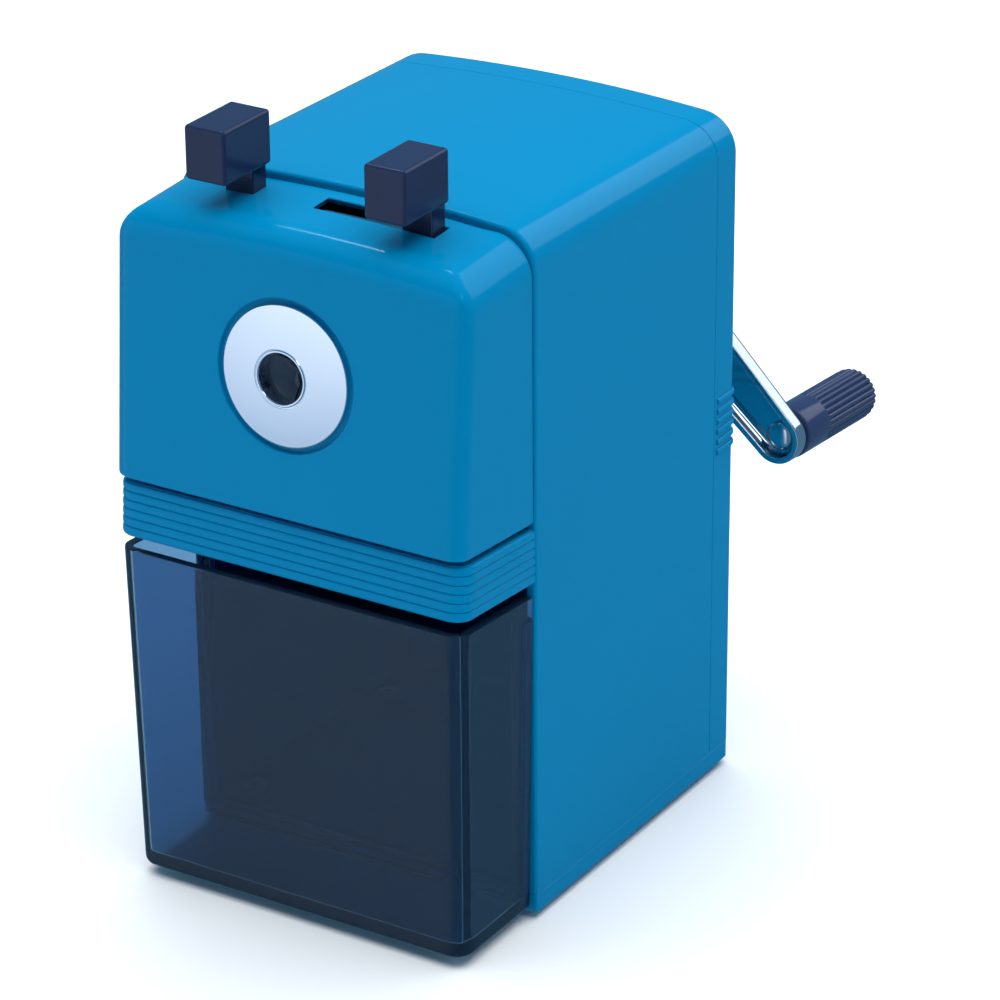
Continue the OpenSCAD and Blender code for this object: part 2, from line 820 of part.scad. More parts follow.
module cutter_pinion() {
    pitch_r = pinion_teeth * gear_module / 2;
    from = cutter_t(gear_s[1]);
    to = cutter_t(gear_s[0]);
    color(steel) on_cutter(from) linear_extrude(to - from, scale = to / from) difference() {
        teeth_2d(pinion_teeth, pitch_r - 1.13, pitch_r + 0.63, 0.9, 0.35, -90);
        circle(sleeve_r + 0.1, $fn = 24);
    }
}

// Tear-shaped pressed channel, open towards the housing
module crank_arm() {
    color(bright) difference() {
        slice([arm_s, arm_s + crank_depth]) rotate(-crank_angle)
            tear_2d(crank_hub_r, crank_tip_r, crank_l);
        slice([arm_s - 1, arm_s + crank_depth - arm_wall]) rotate(-crank_angle)
            tear_2d(crank_hub_r - arm_wall, crank_tip_r - arm_wall, crank_l);
        slice([arm_s, arm_s + 10]) circle(shaft_r + 0.02);
        on_pin(arm_s + 10) cylinder(h = 20, r = pin_r + 0.02);
    }
}

module crank_nut() {
    color(bright) difference() {
        slice(nut_s) circle(5.2, $fn = 6);
        slice([nut_s[0] - 1, nut_s[1] + 1]) circle(shaft_r + 0.02);
    }
}

module handle_rivet() {
    web_s = arm_s + crank_depth - arm_wall;
    end_s = handle_s + handle_l - 2.0;
    color(steel) {
        on_pin(end_s) cylinder(h = end_s - web_s, r = pin_r);
        on_pin(web_s) cylinder(h = 0.5, r = 3);
        on_pin(web_s - 0.5) intersection() {
            translate([0, 0, -3.4]) sphere(4.3);
            cylinder(h = 3, r = 3);
        }
        on_pin(end_s + 1) cylinder(h = 1, r = 3.1);
    }
}

module handle() {
    collar_end = handle_s + collar_len;
    end_s = handle_s + handle_l;
    ribs = 26;
    color(dark_blue) difference() {
        union() {
            on_pin(collar_end) cylinder(h = collar_len, r = handle_r);
            on_pin(end_s) linear_extrude(end_s - collar_end + 1)
                teeth_2d(ribs, handle_r - 0.45, handle_r - 0.04, 0.5, 0.25, 0);
        }
        on_pin(end_s + 1) cylinder(h = handle_l + 2, r = pin_r + fit);
        on_pin(end_s + 1) cylinder(h = 3.3, r = 3.3);
    }
}

// ---------------------------------------------------------------- drawer

// The part of the drawer that stands before the housing, drawn in by inset
module drawer_front_form(inset, low, high) {
    r = max(drawer_r - inset, 1.2);
    er = max(drawer_edge_r - inset, 0.6);
    top_half = head_half_w - inset;
    low_half = top_half - drawer_draft;
    low_y = drawer_front_y + drawer_lean + inset;
    hull() {
        for (side = [-1, 1]) {
            translate([side * (top_half - r), drawer_front_y + inset + r, high - 1]) cylinder(h = 1, r = r);
            translate([side * (low_half - r), low_y + r, low + er]) rotate_extrude()
                translate([r - er, 0]) circle(er, $fn = 24);
        }
        translate([-top_half, drawer_join_y - 1, high - 1]) cube([2 * top_half, 1, 1]);
        translate([-low_half, drawer_join_y - 1, low + 1]) cube([2 * low_half, 1, 1]);
        translate([-low_half + 1, drawer_join_y - 1, low]) cube([2 * low_half - 2, 1, 1]);
    }
}

module drawer() {
    high = under_z + drawer_top;
    rim = high + drawer_rim_rise;
    tub_inner = tub_half_w - tub_wall;
    color(smoke) difference() {
        union() {
            drawer_front_form(0, drawer_z, rim + 4);
            translate([-tub_half_w, drawer_join_y - 2, tub_z])
                cube([2 * tub_half_w, tub_back_y - drawer_join_y + 2, high - tub_z - 4]);
        }
        intersection() {
            drawer_front_form(drawer_wall, tub_z + tub_wall, rim + 8);
            translate([-half_w, -100, 0]) cube([body_w, 100 + drawer_join_y - 1.8, tall]);
        }
        translate([0, drawer_join_y, rim]) rotate([-axis_fall, 0, 0]) translate([-tall / 2, -tall / 2, 0])
            cube([tall, tall, 20]);
        translate([-tub_inner, drawer_join_y - 8, tub_z + tub_wall])
            cube([2 * tub_inner, tub_back_y - tub_wall - drawer_join_y + 8, tall]);
    }
}

// ---------------------------------------------------------------- what is drawn

housing_shell();
translate([0, 0, under_z]) base_plate();
rear_cover();
front_band();
bulkhead();
rod_bushes();
gear_case();
ring_gear();
shaft_bush();
foot_pad();
cover_screws();
base_screws();
carriage_shell();
escutcheon();
jaw_guide();
chuck_plate();
finger_rest();
guide_rods();
rod_clips();
chuck_screws();
feed_spring_left();
feed_spring_right();
cam_ring();
chuck_lever();
lever_block();
chuck_jaw_a();
chuck_jaw_b();
chuck_jaw_c();
crank_shaft();
cutter_carrier();
cutter_axle();
crank_arm();
crank_nut();
handle_rivet();
helical_cutter();
cutter_pinion();
cutter_sleeve();
handle();
drawer();
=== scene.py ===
import json
import math
import bmesh
import bpy
import numpy as np
from mathutils import Matrix, Vector


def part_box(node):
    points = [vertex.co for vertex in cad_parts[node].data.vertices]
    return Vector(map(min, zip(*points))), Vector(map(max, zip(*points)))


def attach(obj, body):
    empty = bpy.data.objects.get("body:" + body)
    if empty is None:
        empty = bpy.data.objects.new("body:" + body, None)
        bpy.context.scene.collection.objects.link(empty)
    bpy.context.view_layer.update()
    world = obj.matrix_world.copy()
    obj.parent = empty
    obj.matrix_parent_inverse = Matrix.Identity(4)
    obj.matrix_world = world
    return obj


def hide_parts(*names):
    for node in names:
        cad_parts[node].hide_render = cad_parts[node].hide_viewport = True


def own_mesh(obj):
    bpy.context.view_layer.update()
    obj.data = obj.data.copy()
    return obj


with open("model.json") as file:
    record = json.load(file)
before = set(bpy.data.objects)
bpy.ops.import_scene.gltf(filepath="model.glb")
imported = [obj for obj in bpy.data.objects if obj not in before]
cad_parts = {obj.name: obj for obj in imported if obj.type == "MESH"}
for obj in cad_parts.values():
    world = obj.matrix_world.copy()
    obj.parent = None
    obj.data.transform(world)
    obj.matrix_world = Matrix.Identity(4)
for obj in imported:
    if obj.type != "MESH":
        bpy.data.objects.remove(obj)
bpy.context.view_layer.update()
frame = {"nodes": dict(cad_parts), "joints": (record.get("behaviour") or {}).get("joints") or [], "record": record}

# ---------------------------------------------------------------- studio
# A plain pale table under one large soft light, with a weak fill from the right. Three small cards
# show only in reflections: a strip for the brow's edge, one for the corner and one behind for the
# chrome. The camera looks down on the sharpener's front right corner.
camera_data = bpy.data.cameras.new("camera")
camera = bpy.data.objects.new("camera", camera_data)
bpy.context.scene.collection.objects.link(camera)
bpy.context.scene.camera = camera
azimuth, elevation, roll = (math.radians(v) for v in (31.848, 24.936, -0.378))
look_at = np.array([0.01726, -0.017, 0.07382])
camera_distance = 0.85916
back = np.array([math.sin(azimuth) * math.cos(elevation),
                 -math.cos(azimuth) * math.cos(elevation), math.sin(elevation)])
level = np.array([math.cos(azimuth), math.sin(azimuth), 0.0])
upward = np.cross(back, level)
right = math.cos(roll) * level + math.sin(roll) * upward
top = -math.sin(roll) * level + math.cos(roll) * upward
turn = np.eye(4)
turn[:3, 0], turn[:3, 1], turn[:3, 2] = right, top, back
turn[:3, 3] = look_at + camera_distance * back
camera.matrix_world = Matrix(turn.tolist())
camera_data.lens = 166.5
camera_data.sensor_width = 36
camera_data.shift_x, camera_data.shift_y = 0.0035, 0.0004
camera_data.clip_start = 0.05


def area_light(name, place, target, size, power, diffuse=True, glossy=True, turn=None):
    """A rectangular soft light of the given size in metres that faces its target, or straight down
    and turned by so many degrees. It may be kept out of the diffuse light or of the reflections."""
    data = bpy.data.lights.new(name, "AREA")
    data.shape, data.size, data.size_y = "RECTANGLE", size[0], size[1]
    data.energy = power
    light = bpy.data.objects.new(name, data)
    light.location = place
    light.rotation_euler = (Vector(target) - Vector(place)).to_track_quat("-Z", "Y").to_euler()
    if turn is not None:
        light.rotation_euler = (0, 0, math.radians(turn))
    light.visible_diffuse, light.visible_glossy = diffuse, glossy
    light.visible_camera = False
    bpy.context.scene.collection.objects.link(light)
    return light


area_light("overhead", (0, 0.1, 1.3), (0, 0.1, 0), (2.0, 2.0), 38.5, glossy=False)
area_light("right_fill", (1.3, -0.2, 0.7), (0, 0, 0.07), (0.8, 0.8), 1.4, glossy=False)
area_light("brow_strip", (-0.54, 0.335, 1.22), (0, 0, 0), (0.42, 0.075),
           1.8, diffuse=False, turn=-17.5)
area_light("corner_card", (0.60, -0.55, 1.00), (0, -0.06, 0.12), (0.32, 0.32), 1.4, diffuse=False)
area_light("back_card", (0.45, 0.95, 0.75), (0.05, 0.1, 0.1), (0.8, 0.8), 3.0, diffuse=False)

world = bpy.data.worlds.new("studio")
bpy.context.scene.world = world
world.use_nodes = True
world.node_tree.nodes["Background"].inputs["Color"].default_value = (0.30, 0.68, 1.0, 1)
world.node_tree.nodes["Background"].inputs["Strength"].default_value = 0.36
bpy.context.scene.view_settings.view_transform = "Standard"


class Wire:
    """A shader socket, so that node maths reads as arithmetic."""

    def __init__(self, tree, socket):
        self.tree, self.socket = tree, socket

    def add(self, kind, values=(), out=0, **settings):
        """Any other node: its settings first, then its inputs by name or number."""
        node = self.tree.nodes.new(kind)
        stops = settings.pop("stops", None)
        for key, value in settings.items():
            setattr(node, key, value)
        if stops:
            ramp = node.color_ramp
            while len(ramp.elements) < len(stops):
                ramp.elements.new(0.5)
            for element, (place, colour) in zip(ramp.elements, stops):
                element.position, element.color = place, (*colour, 1)
        for key, value in dict(values).items():
            if isinstance(value, Wire):
                self.tree.links.new(value.socket, node.inputs[key])
            else:
                node.inputs[key].default_value = value
        return Wire(self.tree, node.outputs[out])

    def maths(self, operation, *values):
        return self.add("ShaderNodeMath", dict(enumerate(values)), operation=operation)

    def __add__(self, other):
        return self.maths("ADD", self, other)

    def __radd__(self, other):
        return self.maths("ADD", other, self)

    def __mul__(self, other):
        return self.maths("MULTIPLY", self, other)

    def __rmul__(self, other):
        return self.maths("MULTIPLY", other, self)

    def noise(self, scale, detail=2.0, out=0):
        """Fractal noise of the given scale in cycles per metre, read at this position."""
        return self.add("ShaderNodeTexNoise", {"Vector": self, "Scale": scale, "Detail": detail}, out)

    def mix(self, one, two):
        """A colour between two colours, by this value."""
        return self.add("ShaderNodeMix", {0: self, 6: one, 7: two}, out=2, data_type="RGBA")

    def bump(self, strength, distance):
        """A surface normal that follows this height."""
        return self.add("ShaderNodeBump", {"Height": self, "Strength": strength, "Distance": distance})


def finish_named(name, **sockets):
    """A Principled material and the wire of its Object coordinates; sockets set its plain values."""
    material = bpy.data.materials.new(name)
    material.use_nodes = True
    tree = material.node_tree
    shader = tree.nodes["Principled BSDF"]
    for key, value in sockets.items():
        shader.inputs[key.replace("_", " ")].default_value = value
    place = Wire(tree, tree.nodes.new("ShaderNodeTexCoord").outputs["Object"])
    return material, shader, place


def feed(shader, **wires):
    """Links wires to the shader's sockets."""
    for key, wire in wires.items():
        wire.tree.links.new(wire.socket, shader.inputs[key.replace("_", " ")])


table_finish, table_shader, place = finish_named("table_finish", Roughness=0.9)
feed(table_shader, Base_Color=place.noise(3.0).mix((0.93, 0.91, 0.90, 1), (0.95, 0.93, 0.92, 1)))


def stage_sheet(name, corners, material):
    """One quad of the studio, from its four corners in metres."""
    mesh = bpy.data.meshes.new(name)
    mesh.from_pydata(corners, [], [(0, 1, 2, 3)])
    mesh.materials.append(material)
    made = bpy.data.objects.new(name, mesh)
    bpy.context.scene.collection.objects.link(made)
    return made


table_half = 12.0
table = stage_sheet("table", [(-table_half, -table_half, 0), (table_half, -table_half, 0),
                              (table_half, table_half, 0), (-table_half, table_half, 0)], table_finish)
table.visible_glossy = False

# a tall white card at the front left, seen only in reflections, that fades towards its foot
card_foot, card_head, bright_at = -0.42, 0.34, 0.30
card_finish, card_shader, place = finish_named("card_finish", Base_Color=(0, 0, 0, 1), Emission_Strength=1.0)
height = place.add("ShaderNodeSeparateXYZ", {0: place}, out=2)
rise = height.add("ShaderNodeMapRange", {0: height, 1: card_foot, 2: bright_at, 3: 0.0, 4: 1.0})
feed(card_shader, Emission_Color=rise.mix((0.38, 0.52, 0.70, 1), (1.0, 1.12, 1.25, 1)))
card_finish.cycles.emission_sampling = "NONE"
card_centre, card_half = np.array([-0.239, -0.474]), 0.42
card_along = np.array([0.865, -0.502]) * card_half
card = stage_sheet("card", [(*(card_centre + k * card_along), z) for k, z in
                            [(-1, card_foot), (-1, card_head), (1, card_head), (1, card_foot)]], card_finish)
card.visible_camera = card.visible_diffuse = card.visible_transmission = card.visible_shadow = False

# ---------------------------------------------------------------- housing shell
# One blue ABS moulding: a tall open box with a crowned roof and a 2.2 mm wall. Its front lip is
# rounded, and the chuck head, the band and the drawer close its front.
MM = 0.001


def patch(points, wrap_u=False, wrap_v=False):
    """Vertices and quads of a grid of points, shape (rows, columns, 3), optionally closed in u or v."""
    rows, columns = points.shape[:2]
    i = np.arange(rows if wrap_u else rows - 1)[:, None]
    j = np.arange(columns if wrap_v else columns - 1)[None, :]
    a = i * columns + j
    b = ((i + 1) % rows) * columns + j
    c = ((i + 1) % rows) * columns + (j + 1) % columns
    d = i * columns + (j + 1) % columns
    return points.reshape(-1, 3), np.stack([a, b, c, d], -1).reshape(-1, 4)


def cap(loop):
    """One flat face on a closed loop of points."""
    return loop, np.arange(len(loop))[None, :]


def settle(made):
    """Applies a piece's modifiers to its mesh."""
    made.data = bpy.data.meshes.new_from_object(made.evaluated_get(bpy.context.evaluated_depsgraph_get()))
    made.modifiers.clear()


def piece(name, patches, material, body, replaced=(), wall=0.0, smooth=35.0, merge=0.004):
    """A mesh object from patches in millimetres: doubles merged, normals outward, then a wall if
    asked. Its shading follows its larger faces, so that flats stay flat between round edges."""
    mesh = bpy.data.meshes.new(name)
    build = bmesh.new()
    for points, faces in patches:
        verts = [build.verts.new(p) for p in (points * MM).tolist()]
        for face in faces.tolist():
            build.faces.new([verts[k] for k in face])
    bmesh.ops.remove_doubles(build, verts=build.verts, dist=merge * MM)
    bmesh.ops.dissolve_degenerate(build, edges=build.edges, dist=merge * MM * 0.5)
    bmesh.ops.recalc_face_normals(build, faces=build.faces)
    build.to_mesh(mesh)
    build.free()
    made = bpy.data.objects.new(name, mesh)
    bpy.context.scene.collection.objects.link(made)
    if wall:
        solid = made.modifiers.new("wall", "SOLIDIFY")
        solid.thickness, solid.offset, solid.use_even_offset = wall * MM, -1, True
        solid.use_quality_normals = True
        settle(made)
    made.data.shade_smooth()
    made.data.set_sharp_from_angle(angle=math.radians(smooth))
    even = made.modifiers.new("even", "WEIGHTED_NORMAL")
    even.keep_sharp = True
    settle(made)
    made.data.materials.append(material)
    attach(made, body)
    if replaced:
        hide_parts(*replaced)
    return made


def arc(radius, start, stop, count, centre=(0.0, 0.0)):
    """Points on an arc about a centre, from start to stop in degrees."""
    a = np.radians(np.linspace(start, stop, count))
    return np.stack([centre[0] + radius * np.cos(a), centre[1] + radius * np.sin(a)], -1)


def arch(half, floor, roof, corner, crown, rows=24, bend=14, top=40):
    """Open outline in X and Z from the left foot over a crowned roof to the right foot. Each upper
    corner is an arc that touches the side and the crown, whose centre lies straight below the roof."""
    crown_z = roof - crown
    centre_x = half - corner
    centre_z = crown_z + math.sqrt((crown - corner) ** 2 - centre_x ** 2)
    lean = math.degrees(math.atan2(centre_z - crown_z, centre_x))
    left_wall = np.stack([np.full(rows, -half), np.linspace(floor, centre_z, rows)], -1)
    left_bend = arc(corner, 180, 180 - lean, bend, (-centre_x, centre_z))
    roof_line = arc(crown, 180 - lean, lean, top, (0, crown_z))
    right_bend = arc(corner, lean, 0, bend, (centre_x, centre_z))
    right_wall = left_wall[::-1] * (-1, 1)
    return np.concatenate([left_wall, left_bend[1:], roof_line[1:], right_bend[1:], right_wall[1:]])


def box_mm(node):
    """Lowest and highest corner of a CAD node in millimetres."""
    return [np.array(corner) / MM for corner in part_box(node)]


shell_low, shell_high = box_mm("housing_shell")
wall = 2.2
roof_r, crown_r = 7.5, 400.0
roof_fall = math.tan(math.radians(1.0))
front_y, seam_y = shell_low[1], shell_high[1]
back_y = box_mm("base_plate")[1][1]


def housing_section(inset, y):
    """The housing's outline, drawn in by inset, at depth y. Its heights shrink towards the back so that
    the roof falls by one degree."""
    floor, roof = shell_low[2], shell_high[2]
    line = arch(shell_high[0] - inset, floor, roof - inset, roof_r - 0.6 * inset, crown_r)
    fall = (y - front_y) * roof_fall
    z = floor + (line[:, 1] - floor) * (1 - fall / (roof - floor))
    return np.stack([line[:, 0], np.full(len(line), y), z], -1)


def housing_skin(profile):
    """The housing's outline carried along a profile of (inset, y) pairs."""
    return np.stack([housing_section(d, y) for d, y in profile], 1)


lip_r = 0.7
shell_profile = np.concatenate([
    [(0, seam_y), (0, seam_y - 20), (0, front_y + 20)],
    [(lip_r - lip_r * math.cos(a), front_y + lip_r - lip_r * math.sin(a))
     for a in np.radians(np.linspace(0, 90, 7))],
    [(wall - 0.3, front_y), (wall, front_y + 0.3), (wall, seam_y)]])
shell_skin = housing_skin(shell_profile)

shell_blue, shell_shader, place = finish_named(
    "shell_blue", IOR=1.46, Specular_IOR_Level=0.21, Specular_Tint=(0.25, 0.75, 1.0, 1))
grain = place.noise(2600.0, 3.0)
cloud = place.noise(18.0)
feed(shell_shader,
     Base_Color=cloud.mix((0.0, 0.190, 0.385, 1), (0.0, 0.202, 0.405, 1)),
     Roughness=0.11 + 0.04 * grain,
     Normal=grain.bump(0.02, 0.0001))
piece("housing_shell_skin", [patch(shell_skin, wrap_v=True), cap(shell_skin[0]), cap(shell_skin[-1][::-1])],
      shell_blue, "housing", ["housing_shell"])

# ---------------------------------------------------------------- base plate
# The blue tray that closes the housing from below. A fine dark joint parts it from the shell, and it
# stands on a black rubber pad shaped like an H.


def rounded_plan(half, y0, y1, front_r, rear_r, bend=10, run=24):
    """Closed outline in X and Y of a rectangle, anticlockwise from the left rear corner, with one
    radius at its front corners and one at its rear corners."""
    corners = [(-half + rear_r, y1 - rear_r, rear_r, 90), (-half + front_r, y0 + front_r, front_r, 180),
               (half - front_r, y0 + front_r, front_r, 270), (half - rear_r, y1 - rear_r, rear_r, 0)]
    bends = [arc(max(r, 1e-4), a, a + 90, bend, (x, y)) for x, y, r, a in corners]
    parts = []
    for this, after in zip(bends, bends[1:] + bends[:1]):
        t = np.linspace(0, 1, run)[1:-1, None]
        parts += [this, this[-1] * (1 - t) + after[0] * t]
    return np.concatenate(parts)


def lift(outline, z):
    """A flat outline in X and Y raised to the height z."""
    return np.column_stack([outline, np.full(len(outline), z)])


plate_low, plate_high = box_mm("base_plate")
plate_rows = [(0.25, plate_high[2]), (0.0, plate_high[2] - 0.25), (0.0, plate_low[2] + 0.4),
              (0.4, plate_low[2]), (9.0, plate_low[2]), (30.0, plate_low[2])]
plate_skin = np.stack([lift(rounded_plan(plate_high[0] - d, plate_low[1] + d, plate_high[1] - d,
                                         0.4, max(2.5 - d, 0.2)), z) for d, z in plate_rows], 1)
piece("base_plate_skin", [patch(plate_skin, wrap_u=True), cap(plate_skin[:, -1])],
      shell_blue, "housing", ["base_plate"], wall=wall)



def refinish(node, material):
    """Gives a carried-over CAD node its material."""
    mesh = frame["nodes"][node].data
    mesh.materials.clear()
    mesh.materials.append(material)


pad_rubber, pad_shader, place = finish_named("pad_rubber", Specular_IOR_Level=0.3)
feed(pad_shader, Base_Color=place.noise(400.0).mix((0.012, 0.012, 0.013, 1), (0.025, 0.025, 0.027, 1)),
     Roughness=0.75 + 0.2 * place.noise(900.0), Normal=place.noise(1500.0).bump(0.25, 0.0002))
refinish("foot_pad", pad_rubber)

# ---------------------------------------------------------------- rear cover
# The blue cap that closes the back: a fine chamfered seam, round back edges, six moulded grip ribs
# and the boss of the crank's bearing.
edge_r = 2.4
seam_chamfer = 0.3
cover_profile = [(wall, seam_y + 0.01), (seam_chamfer, seam_y + 0.01),
                 (0, seam_y + seam_chamfer), (0, back_y - edge_r)]
cover_profile += [(edge_r - edge_r * math.cos(a), back_y - edge_r + edge_r * math.sin(a))
                  for a in np.radians(np.linspace(0, 90, 9))[1:]]
cover_skin = housing_skin(cover_profile)
foot = np.array([0, back_y, box_mm("rear_cover")[0][2]])
shrink = np.array([0.98, 0.7, 0.4, 0.0])
cover_back = foot + (cover_skin[:, -1:, :] - foot) * shrink[None, :, None]
cover_skin = np.concatenate([cover_skin, cover_back], 1)
piece("rear_cover_skin", [patch(cover_skin)], shell_blue, "housing", ["rear_cover"], wall=1.6)


def sweep(path, normals, section):
    """A closed section of (outward, up) offsets carried along a plan path with its outward normals."""
    return np.stack([path[:, None, 0] + normals[:, None, 0] * section[None, :, 0],
                     path[:, None, 1] + normals[:, None, 1] * section[None, :, 0],
                     path[:, None, 2] + section[None, :, 1]], -1)


def path_normals(path):
    """Unit normals of a plan path, to the right of its direction."""
    along = np.gradient(path[:, :2], axis=0)
    along /= np.linalg.norm(along, axis=1, keepdims=True)
    return np.stack([along[:, 1], -along[:, 0]], -1)


rib_count, rib_pitch, rib_foot = 6, 2.12, 70.3
rear_bend = arc(2.4, 90, 0, 9, (shell_high[0] - 2.4, back_y - 2.4))
rear_path = np.concatenate([[(-shell_high[0], seam_y + 1.2)], [(-shell_high[0], back_y - 4)],
                            (rear_bend * (-1, 1))[::-1], rear_bend, [(shell_high[0], back_y - 4)],
                            [(shell_high[0], seam_y + 1.2)]])
rib_section = arc(1.0, 90, -90, 9) * (0.45, 0.62) + (-0.02, 0)
rib_section = np.concatenate([rib_section, [(-0.4, -0.62), (-0.4, 0.62)]])
rear_ribs = []
for k in range(rib_count):
    path = lift(rear_path, rib_foot + k * rib_pitch)
    tube = sweep(path, -path_normals(path), rib_section)
    rear_ribs += [patch(tube, wrap_v=True), cap(tube[0]), cap(tube[-1][::-1])]
piece("rear_grip_ribs", rear_ribs, shell_blue, "housing")

crank_joint = next(j for j in frame["joints"] if j["name"] == "crank_spin")
axis_start = np.array(crank_joint["pos_m"]) / MM
forward = np.array(crank_joint["axis"])
forward /= np.linalg.norm(forward)
across = np.array([1.0, 0.0, 0.0])
over = np.cross(forward, across)


def on_axis(points, station=0.0):
    """Points (x to the right, y up, s backwards) about the pencil axis, moved into the sharpener."""
    p = np.asarray(points, float)
    return axis_start + p[..., :1] * across + p[..., 1:2] * over - (p[..., 2:3] + station) * forward


def revolved(profile, steps=64, centre=(0.0, 0.0), radius=None):
    """A profile of (radius, station) pairs turned about a line beside the pencil axis. radius may
    scale each angle's radius, as for a hexagon or a row of ribs."""
    a = np.linspace(0, 2 * math.pi, steps, endpoint=False)
    scale = np.ones((steps, len(profile))) if radius is None else radius(a)
    r = scale * profile[None, :, 0]
    x = centre[0] + r * np.cos(a)[:, None]
    y = centre[1] + r * np.sin(a)[:, None]
    return on_axis(np.stack([x, y, np.broadcast_to(profile[None, :, 1], r.shape)], -1))


def fillet(points, radii, bend=5):
    """A polyline of (u, v) corners with each corner replaced by a quadratic arc of the given reach."""
    made = []
    pts = np.asarray(points, float)
    for k, (p, r) in enumerate(zip(pts, radii)):
        if r <= 0 or k in (0, len(pts) - 1):
            made.append(p[None])
            continue
        a, b = pts[k - 1] - p, pts[k + 1] - p
        a, b = p + a / np.linalg.norm(a) * r, p + b / np.linalg.norm(b) * r
        t = np.linspace(0, 1, bend)[:, None]
        made.append((1 - t) ** 2 * a + 2 * t * (1 - t) * p + t ** 2 * b)
    return np.concatenate(made)


boss_profile = fillet([(0.01, 96), (12.9, 96), (12.9, 101.9), (8.5, 101.9), (8.5, 108.1),
                       (5.0, 108.1), (5.0, 100)], [0, 0, 0.7, 0.8, 0.6, 0.2, 0])
piece("crank_boss", [patch(revolved(boss_profile), wrap_u=True)], shell_blue, "housing")

# ---------------------------------------------------------------- front band
# The fixed belt under the chuck head: six round ribs with narrow grooves that run round three sides.
tilt = math.radians(4.3)
band_half, band_top = 37.8, 10.9
band_y, band_z = front_y - 24.7, 71.8      # where the band's front foot stands
groove = 0.42


def u_plan(half, front, rear, r, bend=12, run=14, wide=60):
    """Open plan outline from the left rear, round two front corners, to the right rear."""
    left = np.stack([np.full(run, -half), np.linspace(rear, front + r, run)], -1)
    bend_left = arc(r, 180, 270, bend, (-half + r, front + r))
    flat = np.stack([np.linspace(-half + r, half - r, wide), np.full(wide, front)], -1)
    return np.concatenate([left, bend_left[1:], flat[1:], (bend_left * (-1, 1))[::-1][1:],
                           (left * (-1, 1))[::-1][1:]])


def rib_wave(z, pitch, low, high):
    """Outward offset of a row of round ribs: each is a superellipse of power 2.6 above its grooves."""
    t = np.abs(2 * (((z - low) / pitch) % 1) - 1)
    wave = (1 - t ** 2.6) ** (1 / 2.6)
    return np.where((z < low) | (z > high), 0.35, wave)


wave_pitch = (band_top - 0.5) / 6
z_steps = np.concatenate([0.25 + wave_pitch * (k + 0.5 - 0.5 * np.cos(np.linspace(0, math.pi, 15)))[:-1]
                          for k in range(6)] + [[band_top - 0.25]])
offsets = groove * (1 - rib_wave(z_steps, wave_pitch, 0.25, band_top - 0.25 - 1e-6))
offsets[0] = offsets[-1] = groove
band_rows = [(3.0, 0.0), (1.0, 0.0), (groove, 0.12)] + list(zip(offsets, z_steps)) + [
    (groove + 0.05, band_top - 0.1), (0.9, band_top), (3.0, band_top)]


def tilted(outline, z):
    """A plan outline raised to z above the band's foot, leaned back with the pencil axis, and cut off
    at the housing's front."""
    x, y = outline[:, 0], outline[:, 1] - band_y
    lean_y = y * math.cos(tilt) + z * math.sin(tilt)
    lean_z = -y * math.sin(tilt) + z * math.cos(tilt)
    out = np.stack([x, band_y + lean_y, band_z + lean_z], -1)
    over_run = np.maximum(out[:, 1] - front_y, 0)
    return out - over_run[:, None] * np.array([0, 1, -math.tan(tilt)])


band_r = 3.7
band_skin = np.stack([tilted(u_plan(band_half - d, band_y + d, front_y + 3, band_r - d if d < 3 else 1.0), z)
                      for d, z in band_rows], 1)
back_line = band_skin[:, -1, :] * (0.9, 0, 1) + (0, front_y, 0)
shelf = np.stack([band_skin[:, -1, :] * (1 - t) + back_line * t for t in (0.34, 0.67, 1.0)], 1)
shelf[:, :, 2] = band_skin[:, -1:, 2] + (shelf[:, :, 1] - band_skin[:, -1:, 1]) * -math.tan(tilt)
band_skin = np.concatenate([band_skin, shelf], 1)
piece("ribbed_band", [patch(band_skin)], shell_blue, "housing", ["front_band"],
      wall=0.8, smooth=50)

# ---------------------------------------------------------------- chuck head
# The blue cover that pulls out with the pencil: a leaning front with a round recess, a roof that
# falls towards the user, and a slot in which the right finger block slides.
head_half, head_rear = box_mm("carriage_shell")[1][:2]
head_face, head_floor = -0.3, -27.2
head_roof, head_fall = 138.2, math.tan(math.radians(2.8))
side_r, brow_r, corner_r = 7.0, 5.0, 3.7
lean_c, lean_s = math.cos(tilt), math.sin(tilt)


def roof_z(x, y):
    """Height of the chuck head's roof: a crown across and a fall towards the front."""
    return head_roof - x ** 2 / (2 * crown_r) + (y - front_y) * head_fall


def roof_up(x, s):
    """The roof's height above the pencil axis over the point (x, s), from the two slopes."""
    y0 = axis_start[1] + s * lean_c
    return (roof_z(x, y0) + s * lean_s - axis_start[2]) / (lean_c - lean_s * head_fall)


def rear_s(up):
    """Station of the head's upright rear plane at this height above the axis."""
    return (head_rear - axis_start[1] - up * lean_s) / lean_c


def head_ring(side_in, front_in, corner, up_of):
    """One ring of the head's wall: a plan outline drawn in by side_in and front_in, at the heights
    that up_of gives for its points. Its ends lie on the rear plane."""
    plan = u_plan(head_half - side_in, head_face + front_in, 30.0, max(corner, 0.02))
    x, s = plan[:, 0], plan[:, 1]
    share = (s - plan[:, 1].min()) / (30.0 - plan[:, 1].min())
    up = up_of(x, s)
    front_s = head_face + front_in
    s = front_s + share * (rear_s(up) - front_s)
    up = up_of(x, s)
    return np.stack([x, up, s], -1)


